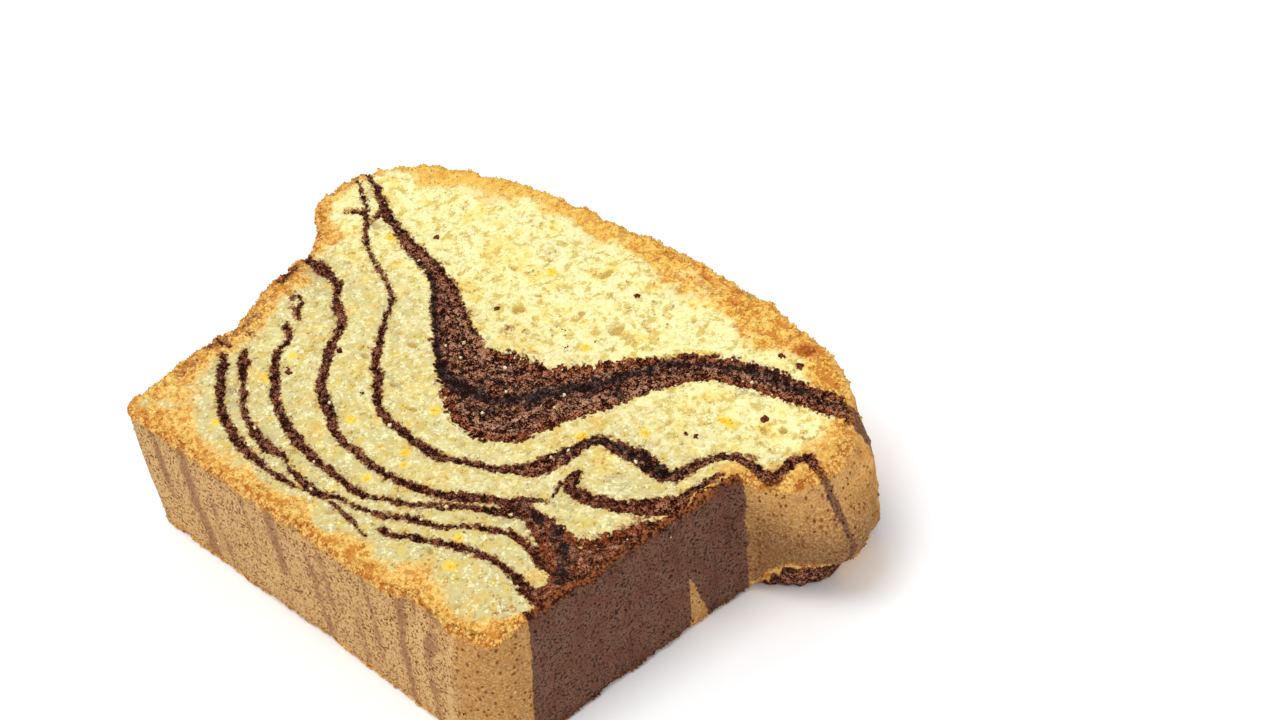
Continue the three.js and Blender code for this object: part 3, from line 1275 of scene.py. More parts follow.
    def _smeared(self, smears: Sequence[Smear]) -> Array:
        """How much is smeared on or scorched into the crumb.

        Args:
            smears: The smears that count.

        Returns:
            How much at each point, about 1 where most.
        """
        rubbed = np.zeros(len(self.smooth))
        for smear in smears:
            offset = self.smooth[:, :2] - (smear.x, smear.y)
            along = offset @ along_turn(smear.turn) / smear.across
            aside = offset @ across_turn(smear.turn) / smear.up
            spread = np.exp(-self.smear_falls * (along**2 + aside**2))
            rubbed = np.maximum(rubbed, smear.strength * spread)
        return rubbed

    def _glow(self, spots: Sequence[Spot]) -> Array:
        """A soft halo round each spot of the shown face.

        Args:
            spots: The spots.

        Returns:
            1 in the middle of a spot, 0 away from all.
        """
        points, glow = self.smooth, np.zeros(len(self.smooth))
        span = (self.form.thickness + depth for depth in self.zones.shown_depth)
        for spot in spots:
            across = (points[:, 0] - spot.x) / (spot.across + self.stain_spread)
            up = (points[:, 1] - spot.y) / (spot.up + self.stain_spread)
            glow = np.maximum(glow, np.exp(-self.stain_falls * (across**2 + up**2)))
        return glow * smoothstep(points[:, 2], *span)

    def _streaks(self) -> Array:
        """Streaks that run through the base crust.

        Returns:
            Above 0 where dark, below 0 where pale.
        """
        x, y, z = self.smooth.T
        zones, depth = self.zones, self.form.thickness - z
        streak = np.zeros(len(x))
        for mark in BASE_STREAKS:
            width = mark.half_width * (1 + mark.widen * depth / self.form.thickness)
            off = np.abs(x - mark.x - mark.slant * depth) / width
            began = smoothstep(depth, *(mark.start + step for step in zones.streak_starts))
            goes_on = fade(depth, *(mark.end + step for step in zones.streak_ends))
            streak += mark.strength * np.exp(-(off**2)) * began * goes_on
        return streak * fade(y, *zones.streaks_y)

    def _relief(self) -> Array:
        """Gives the smooth form its crumb, pores, crags and crumbled edges.

        Returns:
            The form's points, moved.
        """
        smooth, cut = self.smooth, self.cut
        out = smooth.copy()
        out[:self.side_count] = self._crusted(smooth[:self.side_count])
        shown, resting = self.shown_points, self.resting_points
        self._follow_rim(out, shown, self.side_count - self.columns)
        self._follow_rim(out, resting, 0)
        height = self._shown_height()
        out[shown, 2] += height
        rows = np.arange(self.side_count).reshape(self.rows + 1, self.columns)
        for step in range(1, self.rim_rows):
            out[rows[-1 - step], 2] += height[:self.columns] * (1 - step / self.rim_rows)
        broken = self._break_height(smooth[resting])
        crumbs = cut.resting_crumbs + cut.break_crumbs * smoothstep(broken, *cut.break_starts)
        out[resting, 2] = broken + np.maximum(0, cut.crumbled.puffed(smooth[resting])) * crumbs
        out[:, 2] = np.maximum(out[:, 2], 0)
        return out

    def _follow_rim(self, out: Array, cap: Array, rim_start: int) -> None:
        """Moves a cut face's points sideways with the rim next to them.

        Args:
            out: The moved points.
            cap: Numbers of the cut face's points, its rim first.
            rim_start: Number of the rim's first point.
        """
        inner = cap[self.columns:]
        rim = rim_start + self.rim_nearest[inner]
        moved = out[rim, :2] - self.smooth[rim, :2]
        share = np.clip(1 - self.rim_gap[inner] / self.rim_follow, 0, 1)
        out[inner, :2] += moved * share[:, None]

    def _shown_height(self) -> Array:
        """Relief of the shown cut face, which also paints its pits and a painted shade in its
        hollows.

        Returns:
            Height in millimetres at each point.
        """
        form, cut, index = self.form, self.cut, self.shown_points
        shown, gap = self.smooth[index], self.rim_gap[index]
        toast = self.paint["toast"][index]
        ragged = form.crumb_relief + form.ragged_rim_relief * fade(gap, *cut.ragged_rim)
        cocoa = smoothstep(self.paint["cocoa"][index], *cut.cocoa_border)
        crags, grit = cut.crags.puffed(shown), cut.grit.rough(shown)
        pits = self.pores.pits(shown, self.draw)
        self.paint["pit"][index] = pits
        # painted shade: colour made darker where the crags and grit lie low
        hollow_shade = cut.hollow_shade_crag * crags + cut.hollow_shade_grit * grit
        self.paint["hollow_shade"][index] = smoothstep(hollow_shade, *cut.hollow_shade)
        height = ragged * form.lumps(shown) + cut.swelling * cut.swell.rough(shown) - pits
        height += (cut.crag + cut.toasted_crag * toast + cut.cocoa_crag * cocoa) * crags
        height += (cut.grain + cut.toasted_grain * toast + cut.cocoa_grain * cocoa) * grit
        height -= cut.cocoa_sunk * cocoa + cut.rim_fall * np.exp(-gap / cut.rim_fall_reach)
        return cut.capped(height)

    def _crusted(self, points: Array) -> Array:
        """Moves the sides' points along their normals by the crust's own relief.

        Args:
            points: The sides' points, one a row.

        Returns:
            The moved points.
        """
        section, crust = self.form.section, self.crust
        grid = points.reshape(self.rows + 1, self.columns, 3)
        tangent = np.roll(grid, -1, 1) - np.roll(grid, 1, 1)
        normal = np.stack([tangent[..., 1], -tangent[..., 0], np.zeros(tangent.shape[:2])], 2)
        normal = (normal / np.linalg.norm(normal, axis=2)[..., None]).reshape(-1, 3)
        heights, y = np.repeat(self.ring_heights, self.columns), points[:, 1]
        dome = smoothstep(y, section.wall_height, section.lip_height + crust.dome_margin)
        crags = crust.crags.puffed(points)
        out = crust.grain_height * crust.grain.rough(points) * (1 + crust.dome_grain * dome)
        out += crust.crag_height * dome * crags
        inland = dome * smoothstep(self.paint["edge"][:len(points)], *crust.inland)
        out += inland * (crust.inland_clod * crust.clods.puffed(points) + crust.inland_crag * crags)
        top = smoothstep(y, *(section.lip_height + rise for rise in crust.hollow_shade_above_lip))
        # painted shade in the dome's crags
        self.paint["hollow_shade"][:len(points)] = smoothstep(crags, *crust.hollow_shade) * top
        out -= crust.lost(points, self.form.thickness - heights, heights)
        return points + normal * out[:, None]

    def _break_height(self, resting: Array) -> Array:
        """Height of the break under the right lip.

        It falls from the swollen rim to the resting face a little inside the outline as baked.

        Args:
            resting: The resting face's points, one a row.

        Returns:
            Height in millimetres at each point.
        """
        rim = self.form.side_ring(self.outline, 0.0)
        gap, nearest = self._rim_gap(resting[:, :2], rim[:, :2])
        sign = np.where(self._within(resting[:, :2], self.outline), 1, -1)
        inside = sign * self.rim_gap[self.resting_points]
        left = self.form.lip_break_depth + self.cut.break_edge.rough(resting) - inside
        share = gap / np.maximum(gap + np.maximum(left, 0), TINY)
        return rim[nearest, 2] * fade(share, 0.0, 1.0)

    def _normals(self) -> Array:
        """The surface's direction at each point.

        Returns:
            Directions of length 1, one a row.
        """
        a, b, c = (self.points[self.faces[:, k]] for k in range(3))
        across = np.cross(b - a, c - a)
        total = np.zeros_like(self.points)
        for k in range(3):
            np.add.at(total, self.faces[:, k], across)
        return total / np.maximum(np.linalg.norm(total, axis=1), TINY)[:, None]

    def _offset(self) -> Array:
        """What takes the loaf's own frame to the CAD frame.

        Returns:
            Millimetres along X, Y and Z.
        """
        low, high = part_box(NODE)
        heights = np.linspace(0, self.form.thickness, self.measured_rings)
        own = np.vstack([self.form.side_ring(self.outline, h) for h in heights])
        middle = (own.min(0) + own.max(0)) / 2
        x, y, _ = (low + high) / 2 / MM
        return np.array([x - middle[0], y - middle[1], 0.0])


# ---------- loose bits


@dataclass
class Crumbs:
    """Small bits on the slice's surface, each kind joined into one mesh."""

    cake: SliceMesh
    unevenness: float = 0.4
    lowest: float = 0.02
    mostly_small: Pair = (1.3, 3.0)
    axes: Span = (0.65, 1.25)
    grain_radius: Span = (0.16, 0.5)
    grain_sunk: float = 0.55
    toast_more: float = 0.5
    border_more: float = 1.6
    border: float = 0.7
    cocoa_more: float = 0.8
    edge_reach: float = 0.7
    dome_fewer: float = 0.6
    dome_share: float = 0.02
    side_share: float = 0.004
    spot_spread: float = 0.75
    spot_axes: Span = (0.45, 1.35)
    fallen_radius: Span = (0.14, 0.5)
    fallen_sunk: float = 0.25
    fallen_from: float = -0.1
    fallen_side: int = 6
    side_margin: float = 1.0

    def __post_init__(self) -> None:
        """Sets up the seeded draws."""
        self.draw = np.random.default_rng(SEED + 1)

    def turns(self, count: int) -> Array:
        """Random rotations.

        Args:
            count: How many.

        Returns:
            One matrix for each.
        """
        rows = self.draw.normal(size=(count, 4))
        w, x, y, z = (rows / np.linalg.norm(rows, axis=1)[:, None]).T
        return np.moveaxis(np.array([
            [1 - 2 * (y * y + z * z), 2 * (x * y - w * z), 2 * (x * z + w * y)],
            [2 * (x * y + w * z), 1 - 2 * (x * x + z * z), 2 * (y * z - w * x)],
            [2 * (x * z - w * y), 2 * (y * z + w * x), 1 - 2 * (x * x + y * y)],
        ]), 2, 0)

    def sizes(self, count: int, span: Span) -> Array:
        """Sizes of grains, small ones more often than large ones."""
        size = between(*span, self.draw.beta(*self.mostly_small, count))
        return size[:, None] * self.draw.uniform(*self.axes, (count, 3))

    def grains(
        self, name: str, hosts: Array, radii: Array, sunk: float, detail: int = 1,
    ) -> Piece:
        """Uneven pebbles sunk into the surface, painted as the points they lie on.

        Args:
            name: Name of the piece.
            hosts: Points of the slice that carry a grain each.
            radii: Radius of each grain along its own three axes, one grain a row.
            sunk: How much of a grain's smallest width lies under the surface.
            detail: How finely a grain is divided.

        Returns:
            The joined object.
        """
        cake = self.cake
        ball, triangles = pebble(detail)
        count, each = len(hosts), len(ball)
        uneven = 1 + self.unevenness * self.draw.uniform(-1, 1, (count, each, 1))
        points = np.einsum("nij,nkj->nki", self.turns(count), ball[None] * uneven * radii[:, None])
        lift = radii.min(1)[:, None] * (1 - 2 * sunk)
        centre = cake.points[hosts] + cake.normals[hosts] * lift
        points = (points + centre[:, None]).reshape(-1, 3)
        points[:, 2] = np.maximum(points[:, 2], self.lowest)
        faces = (triangles[None] + each * np.arange(count)[:, None, None]).reshape(-1, 3)
        mesh = mesh_from_arrays(name, (points + cake.offset) * MM, faces)
        paint_mesh(mesh, {key: np.repeat(paint[hosts], each) for key, paint in cake.paint.items()})
        return linked_object(name, mesh)

    def weighed(self, name: str, hosts: Array, weight: Array, count: int) -> Piece:
        """Fine grains on points drawn by their weight."""
        chosen = self.draw.choice(hosts, count, replace=False, p=weight / weight.sum())
        return self.grains(name, chosen, self.sizes(count, self.grain_radius), self.grain_sunk)

    def crumb_grains(self, count: int) -> Piece:
        """Grains all over the shown cut face, more of them along its rim and in the cocoa.

        Args:
            count: How many grains.

        Returns:
            The joined object.
        """
        shown = self.cake.shown_points
        toast, cocoa = (self.cake.paint[name][shown] for name in ("toast", "cocoa"))
        weight = 1 + self.toast_more * toast
        weight += self.border_more * (np.abs(cocoa) < self.border)
        weight += self.cocoa_more * (cocoa > 0)
        return self.weighed("crumb_grains", shown, weight, count)

    def crust_grains(self, count: int) -> Piece:
        """Grains on the crust, nearly all of them along its cut edges and on the dome.

        Args:
            count: How many grains.

        Returns:
            The joined object.
        """
        side = np.arange(self.cake.side_count)
        edge, dome = (self.cake.paint[name][side] for name in ("edge", "dome"))
        at_edge = np.exp(-edge / self.edge_reach) * (1 - self.dome_fewer * dome)
        weight = at_edge + self.dome_share * dome + self.side_share
        return self.weighed("crust_grains", side, weight, count)

    def at_spots(
        self, name: str, spots: Sequence[Spot], lump: float, bits: int, sunk: float,
    ) -> Piece:
        """Clusters of bits laid on the shown face at set places.

        Args:
            name: Name of the piece.
            spots: The places, with the radii of each cluster.
            lump: Radius of one bit, as a share of its cluster's.
            bits: How many bits a cluster has.
            sunk: How much of a bit lies under the surface.

        Returns:
            The joined object.
        """
        shown = self.cake.shown_points
        flat = self.cake.points[shown, :2]
        hosts, radii = [], []
        for spot in spots:
            size = lump * math.sqrt(spot.across * spot.up)
            for _ in range(bits):
                turn = self.draw.uniform(0, 2 * math.pi)
                share = self.draw.uniform(0, self.spot_spread)
                x = spot.x + spot.across * share * math.cos(turn)
                y = spot.y + spot.up * share * math.sin(turn)
                hosts.append(shown[np.hypot(flat[:, 0] - x, flat[:, 1] - y).argmin()])
                radii.append(size * self.draw.uniform(*self.spot_axes, 3))
        return self.grains(name, np.array(hosts), np.array(radii), sunk, detail=2)

    def fallen(self, name: str, count: int) -> Piece:
        """Pale crumbs that fell on the cocoa, and a few on the sides.

        Args:
            name: Name of the piece.
            count: How many crumbs.

        Returns:
            The joined object.
        """
        cake = self.cake
        shown = cake.shown_points[cake.paint["cocoa"][cake.shown_points] > self.fallen_from]
        side = np.flatnonzero(cake.paint["edge"][:cake.side_count] > self.side_margin)
        on_side = count // self.fallen_side
        hosts = np.concatenate([
            self.draw.choice(shown, count - on_side, replace=False),
            self.draw.choice(side, on_side, replace=False),
        ])
        radii = self.sizes(count, self.fallen_radius)
        return self.grains(name, hosts, radii, self.fallen_sunk, detail=2)


# ---------- shader helpers

Socket = bpy.types.NodeSocket
Feed = Socket | float | tuple
Outputs = dict[str, Socket]
Tree = bpy.types.NodeTree


class Step(Enum):
    """The steps of arithmetic that the finishes use."""

    MULTIPLY = "MULTIPLY"
    DIVIDE = "DIVIDE"
    MULTIPLY_ADD = "MULTIPLY_ADD"
    LARGER = "MAXIMUM"
    BELOW = "LESS_THAN"


@dataclass(frozen=True)
class Tint:
    """A colour laid over another: the value it starts at, the value it's full at, and how far."""

    colour: Colour
    start: float
    full: float
    most: float = 1.0


def linear(colour: Colour) -> tuple[float, float, float, float]:
    """A display colour of 0 to 255 as the renderer's linear one."""
    return (*Color([part / 255 for part in colour]).from_srgb_to_scene_linear(), 1.0)


class NodeBench:
    """Places and joins nodes in one tree."""

    def __init__(self, tree: Tree) -> None:
        """Takes the tree that the nodes go in."""
        self.tree = tree

    def node(self, kind: str, **settings: object) -> bpy.types.Node:
        """Places a node.

        Args:
            kind: Which node.
            settings: Its settings by name.

        Returns:
            The node.
        """
        made = self.tree.nodes.new(kind)
        for name, value in settings.items():
            setattr(made, name, value)
        return made

    def feed(self, socket: Socket, value: Feed) -> None:
        """Links a socket, or sets its constant.

        Args:
            socket: The socket that is fed.
            value: Another node's socket, or a constant.
        """
        if isinstance(value, bpy.types.NodeSocket):
            self.tree.links.new(value, socket)
        else:
            socket.default_value = value

    def math(self, step: Step, *values: Feed) -> Socket:
        """One step of arithmetic.

        Args:
            step: Which step.
            values: What goes into it.

        Returns:
            The result.
        """
        made = self.node("ShaderNodeMath", operation=step.value)
        for socket, value in zip(made.inputs, values):
            self.feed(socket, value)
        return made.outputs[0]

    def times(self, a: Feed, b: Feed) -> Socket:
        """One value times another."""
        return self.math(Step.MULTIPLY, a, b)

    def total(self, base: float, *parts: tuple[float, Feed]) -> Socket:
        """A sum of values.

        Args:
            base: What the sum starts from.
            parts: Pairs of a weight and a value.

        Returns:
            The base and each value times its weight, added up.
        """
        amount: Feed = base
        for weight, value in parts:
            amount = self.math(Step.MULTIPLY_ADD, value, weight, amount)
        return amount

    def mix(self, factor: Feed, a: Feed, b: Feed) -> Socket:
        """Two colours mixed.

        Args:
            factor: How much of the second one, 0 to 1.
            a: The first colour, as a socket or a display colour.
            b: The second one.

        Returns:
            The mixed colour.
        """
        made = self.node("ShaderNodeMix", data_type="RGBA", clamp_factor=True)
        self.feed(made.inputs[0], factor)
        for socket, colour in ((made.inputs[6], a), (made.inputs[7], b)):
            self.feed(socket, linear(colour) if isinstance(colour, tuple) else colour)
        return made.outputs[2]

    def ease(self, value: Feed, *spans: Feed) -> Socket:
        """A value carried smoothly from one range to another.

        Args:
            value: The value.
            spans: Low and high of the range it has, and of the one it gets, 0 to 1 if not given.

        Returns:
            The value in its new range.
        """
        made = self.node("ShaderNodeMapRange", interpolation_type="SMOOTHSTEP")
        for socket, part in zip(made.inputs, (value, *spans)):
            self.feed(socket, part)
        return made.outputs[0]

    def tint(self, under: Feed, *layers: tuple) -> Socket:
        """Lays tints over a colour, one after another.

        Args:
            under: The colour below.
            layers: For each tint the value it goes by, the tint, and a share of it if not all.

        Returns:
            The colour with its tints.
        """
        for value, tint, *shares in layers:
            factor = self.ease(value, tint.start, tint.full, 0.0, tint.most)
            for share in shares:
                factor = self.times(factor, share)
            under = self.mix(factor, under, tint.colour)
        return under

    def paint(self, name: str) -> Socket:
        """A value painted on the mesh's points."""
        return self.node("ShaderNodeAttribute", attribute_name=name).outputs["Fac"]

    def place(self, stretch: Triple = (1, 1, 1)) -> Socket:
        """The place on the object in millimetres.

        Args:
            stretch: How much it's squeezed along each axis.

        Returns:
            The place.
        """
        made = self.node("ShaderNodeVectorMath", operation="MULTIPLY")
        self.feed(made.inputs[0], self.node("ShaderNodeTexCoord").outputs["Object"])
        self.feed(made.inputs[1], tuple(s / MM for s in stretch))
        return made.outputs[0]

    def noise(self, place: Socket, size: Feed, detail: float = 2.0, rough: float = 0.5) -> Socket:
        """Soft noise.

        Args:
            place: Where on the object.
            size: Size of its largest features in millimetres.
            detail: How many finer ones lie on them.
            rough: How strong those are.

        Returns:
            A value of 0 to 1.
        """
        made = self.node("ShaderNodeTexNoise")
        self.feed(made.inputs["Vector"], place)
        self.feed(made.inputs["Scale"], self.math(Step.DIVIDE, 1.0, size))
        self.feed(made.inputs["Detail"], detail)
        self.feed(made.inputs["Roughness"], rough)
        return made.outputs["Fac"]

    def cells(self, place: Socket, size: Feed) -> tuple[Socket, Socket]:
        """Packed cells.

        Args:
            place: Where on the object.
            size: Size of a cell in millimetres.

        Returns:
            Distance from the middle of the cell, and a random value for each cell.
        """
        made = self.node("ShaderNodeTexVoronoi")
        self.feed(made.inputs["Vector"], place)
        self.feed(made.inputs["Scale"], self.math(Step.DIVIDE, 1.0, size))
        split = self.node("ShaderNodeSeparateColor")
        self.feed(split.inputs[0], made.outputs["Color"])
        return made.outputs["Distance"], split.outputs[0]

    def dots(self, place: Socket, size: Feed, radius: float, share: float) -> Socket:
        """Round dots with soft borders.

        Args:
            place: Where on the object.
            size: Size of the cells that they lie in, in millimetres.
            radius: Their radius, as a share of the cells' size.
            share: How many of the cells have one.

        Returns:
            A mask.
        """
        distance, chance = self.cells(place, size)
        solid = 0.45 * radius
        chosen = self.math(Step.BELOW, chance, share)
        return self.times(self.ease(distance, radius, solid), chosen)

    def group(self, tree: Tree, **values: Feed) -> Outputs:
        """Places a shared effect with this finish's own values.

        Args:
            tree: The effect.
            values: Its inputs by name.

        Returns:
            Its outputs by name.
        """
        made = self.node("ShaderNodeGroup", node_tree=tree)
        for name, value in values.items():
            self.feed(made.inputs[name.title()], value)
        return {output.name: output for output in made.outputs}

    def bump(self, height: Socket, distance: float) -> Socket:
        """A height of 0 to 1 as a tilt of the surface.

        Args:
            height: The height.
            distance: How high 1 is, in millimetres.

        Returns:
            The surface's direction.
        """
        made = self.node("ShaderNodeBump")
        self.feed(made.inputs["Height"], height)
        self.feed(made.inputs["Distance"], distance * MM)
        return made.outputs[0]


@dataclass(frozen=True)
class SharedEffects:
    """The shader effects that several finishes use."""

    grain: Tree
    ragged: Tree
    crust: Tree

    @staticmethod
    def _tree(name: str, inputs: dict[str, float]) -> tuple[NodeBench, Outputs]:
        """An empty group with its input sockets.

        Args:
            name: Name of the group.
            inputs: Its inputs, with what each is when nothing is given.

        Returns:
            A bench in the group, and what its inputs give.
        """
        tree = bpy.data.node_groups.new(name, "ShaderNodeTree")
        for label, value in inputs.items():
            made = tree.interface.new_socket(label, in_out="INPUT", socket_type="NodeSocketFloat")
            made.default_value = value
        entry = tree.nodes.new("NodeGroupInput")
        return NodeBench(tree), {label: entry.outputs[label] for label in inputs}

    @staticmethod
    def _finish(bench: NodeBench, outputs: Outputs) -> Tree:
        """Gives a group its output sockets.

        Args:
            bench: The bench in the group.
            outputs: What each output gives.

        Returns:
            The group.
        """
        for label in outputs:
            bench.tree.interface.new_socket(label, in_out="OUTPUT", socket_type="NodeSocketFloat")
        leave = bench.node("NodeGroupOutput")
        for label, value in outputs.items():
            bench.feed(leave.inputs[label], value)
        return bench.tree

    @classmethod
    def crumb_grain(cls) -> Tree:
        """Open crumb: packed grains with creases between them, specks, and soft mottling.

        Returns:
            The group.
        """
        bench, given = cls._tree("crumb grain", {"Size": 0.6})
        place, size = bench.place(), given["Size"]
        small, tone = bench.cells(place, size)
        large, _ = bench.cells(place, bench.times(size, 2.3))
        fine = bench.noise(place, bench.times(size, 0.6), rough=0.6)
        soft = bench.noise(place, bench.times(size, 3.5), rough=0.55)
        return cls._finish(bench, {
            "Height": bench.total(0.5, (-0.42, small), (-0.3, large), (0.35, fine), (0.3, soft)),
            "Tone": tone,
            "Patches": bench.noise(place, bench.times(size, 3.0), detail=3.0, rough=0.6),
            "Mottle": bench.noise(place, bench.times(size, 8.0), detail=3.0, rough=0.6),
            "Specks": bench.dots(place, bench.times(size, 5.5), radius=0.1, share=0.22),
        })

    @classmethod
    def ragged_border(cls) -> Tree:
        """Turns a painted distance into a mask with a crumbly border.

        Returns:
            The group.
        """
        inputs = {"Distance": 0.0, "Ragged": 0.5, "Softness": 0.12}
        bench, given = cls._tree("ragged border", inputs)
        place = bench.place()
        middle, crumb = bench.cells(place, 0.85)
        broad = bench.noise(place, 2.4, rough=0.6)
        fine = bench.noise(place, 0.6)
        wander = bench.total(-2.2, (0.7, crumb), (-1.4, middle), (3.6, broad), (1.5, fine))
        moved = bench.math(Step.MULTIPLY_ADD, wander, given["Ragged"], given["Distance"])
        outside = bench.times(given["Softness"], -1.0)
        mask = bench.ease(moved, outside, given["Softness"])
        return cls._finish(bench, {"Mask": mask, "Moved": moved})

    @classmethod
    def baked_crust(cls) -> Tree:
        """Crust against a tin: fine grain, streaks drawn through the loaf, pits and flecks.

        Returns:
            The group.
        """
        bench, given = cls._tree("baked crust", {"Size": 0.45})
        place, size = bench.place(), given["Size"]
        through, longish = bench.place((1, 1, 0.09)), bench.place((1, 1, 0.6))
        grain, _ = bench.cells(place, size)
        fine = bench.noise(place, size, rough=0.6)
        broad = bench.noise(place, bench.times(size, 9.0), detail=3.0, rough=0.6)
        pits = bench.dots(place, bench.times(size, 2.6), radius=0.26, share=0.4)
        return cls._finish(bench, {
            "Height": bench.total(0.4, (-0.4, grain), (0.5, fine), (-0.5, pits), (0.2, broad)),
            "Fine": fine,
            "Drawn": bench.noise(through, bench.times(size, 5.0), detail=3.0, rough=0.6),
            "Broad": broad,
            "Pits": pits,
            "Flecks": bench.dots(longish, bench.times(size, 2.3), radius=0.38, share=0.5),
        })

    @classmethod
    def make(cls) -> "SharedEffects":
        """Builds every shared effect once."""
        return cls(grain=cls.crumb_grain(), ragged=cls.ragged_border(), crust=cls.baked_crust())


# ---------- finishes


@dataclass(frozen=True)
class Finish:
    """What every finish of the cake has: a name, and how its surface takes light."""

    name: str = "finish"
    roughness: float = 0.85
    gloss: float = 0.1
    glow: float = 0.0
    glow_reach: float = 0.8
    glow_colour: Triple = (1.0, 0.65, 0.3)

    def start(self) -> tuple[Material, NodeBench, bpy.types.Node]:
        """A material with its shader's constants set.

        Returns:
            The material, a bench in it, and its shader.
        """
        material = bpy.data.materials.new(self.name)
        material.use_nodes = True
        shader = material.node_tree.nodes["Principled BSDF"]
        constants = {
            "Roughness": self.roughness,
            "Specular IOR Level": self.gloss,
            "Subsurface Weight": self.glow,
            "Subsurface Radius": self.glow_colour,
            "Subsurface Scale": self.glow_reach * MM,
        }
        for label, value in constants.items():
            shader.inputs[label].default_value = value
        return material, NodeBench(material.node_tree), shader


@dataclass(frozen=True)
class CutCrumbFinish(Finish):
    """The cut faces: pale crumb, golden towards the crust, with ribbons of cocoa."""

    name: str = "cut crumb"
    glow: float = 0.05
    relief: float = 0.8
    grain_size: float = 0.62
    grit_size: float = 0.32
    pale: Colour = (242, 232, 168)
    pale_low: Colour = (229, 216, 152)
    warm: Tint = Tint((241, 219, 106), 0.5, 0.68, 0.65)
    cool: Tint = Tint((229, 221, 168), 0.48, 0.34, 0.75)
    # random patches, more towards the bottom, partly painted shade where the grain lies low
    dense: Tint = Tint((194, 181, 130), 0.5, 0.92, 0.8)
    # random patches, with painted shade in hollows and low grain
    sunk: Tint = Tint((212, 188, 102), 0.5, 0.66, 0.95)
    # painted shade in the creases between grains, then a painted highlight on their tops
    crease: Tint = Tint((212, 188, 102), 0.42, 0.26, 0.55)
    crumb_highlight: Tint = Tint((251, 245, 200), 0.5, 0.66, 0.65)
    # painted shade in the pores, darkest where they are deepest
    pore: Tint = Tint((190, 154, 74), 0.1, 0.6, 0.85)
    zest: Tint = Tint((247, 206, 52), 0.35, 0.9, 0.75)
    speck: Colour = (130, 66, 32)
    speck_share: float = 0.8
    golden: Colour = (238, 191, 90)
    golden_base: Colour = (230, 184, 96)
    golden_from: Span = (0.0, 0.5)
    # toasted brown where the crags lie low: partly real browning, partly painted shade
    toasted: Tint = Tint((202, 134, 56), 0.38, 0.16)
    # pale golden on the crags' tops: partly uneven tone, partly painted highlight
    golden_pale_and_highlight: Tint = Tint((248, 218, 130), 0.48, 0.66, 0.9)
    scorched: Tint = Tint((206, 122, 50), 0.35, 0.95, 0.85)
    burnt: Tint = Tint((142, 68, 24), 0.85, 1.35, 0.85)
    haze: Tint = Tint((178, 168, 124), 0.35, 1.05, 0.75)
    haze_round_ribbons: tuple[float, ...] = (-2.0, -0.2, 0.0, 0.32)
    rubbed: Tint = Tint((156, 100, 66), 0.35, 0.75, 0.85)
    rubbed_dark: Tint = Tint((92, 46, 28), 0.72, 1.0, 0.9)
    fringe: Colour = (150, 84, 46)
    fringe_from: Span = (-0.5, -0.05)
    fringe_breaks: tuple[float, ...] = (0.2, 0.8, 0.2, 1.0)
    ragged_by_breadth: tuple[float, ...] = (0.5, 4.5, 0.36, 0.85)
    border_softness: float = 0.16
    broad_cocoa: Span = (0.3, 1.9)
    rust_breadth: Span = (1.4, 2.6)
    # each cocoa colour, then a lighter copy of it as a painted highlight on the grain's tops
    cocoa: Colour = (136, 78, 49)
    cocoa_highlight: Colour = (206, 152, 120)
    maroon: Colour = (94, 40, 24)
    maroon_highlight: Colour = (166, 104, 76)
    rust: Colour = (136, 62, 30)
    rust_highlight: Colour = (192, 110, 68)
    reddish: Tint = Tint((158, 80, 40), 0.5, 0.62, 0.85)
    light_seam: Colour = (188, 134, 98)
    light_seam_highlight: Colour = (222, 172, 136)
    light_seam_share: float = 0.85
    light_seam_highlight_share: float = 0.6
    seam: Colour = (32, 28, 31)
    seam_highlight: Colour = (66, 56, 54)
    seam_share: float = 0.96
    seam_highlight_share: float = 0.92
    soot_layers: tuple[float, ...] = (0.46, 0.38, 0.0, 0.8)
    cocoa_level: float = 0.48
    # painted shade in the creases of the cocoa's grain, and where the painted highlights begin
    cocoa_crease_shade: Tint = Tint((36, 10, 2), 0.46, 0.38)
    cocoa_highlight_from: Span = (0.5, 0.57)

    def material(self, effects: SharedEffects) -> Material:
        """Builds the material.

        Args:
            effects: The shared effects.

        Returns:
            The material.
        """
        material, bench, shader = self.start()
        grain = bench.group(effects.grain, size=self.grain_size)
        grit = bench.group(effects.grain, size=self.grit_size)
        ragged = bench.ease(bench.paint("breadth"), *self.ragged_by_breadth)
        border = bench.group(
            effects.ragged, distance=bench.paint("cocoa"), ragged=ragged,
            softness=self.border_softness,
        )
        crumb = self._toasted(bench, grain, grit, self._crumb(bench, grain))
        crumb = self._rubbed(bench, grain, grit, border["Moved"], crumb)
        near = bench.ease(border["Moved"], *self.fringe_from)
        fringe = bench.times(near, bench.ease(grit["Tone"], *self.fringe_breaks))
        crumb = bench.mix(fringe, crumb, self.fringe)
        colour = bench.mix(border["Mask"], crumb, self._chocolate(bench, grit, effects))
        bench.feed(shader.inputs["Base Color"], colour)
        relief = bench.times(grain["Height"], bench.total(0.35, (0.5, bench.paint("toast"))))
        more = bench.total(0.0, (1.2, grit["Height"]), (-1.0, relief))
        height = bench.math(Step.MULTIPLY_ADD, border["Mask"], more, relief)
        bench.feed(shader.inputs["Normal"], bench.bump(height, self.relief))
        return material

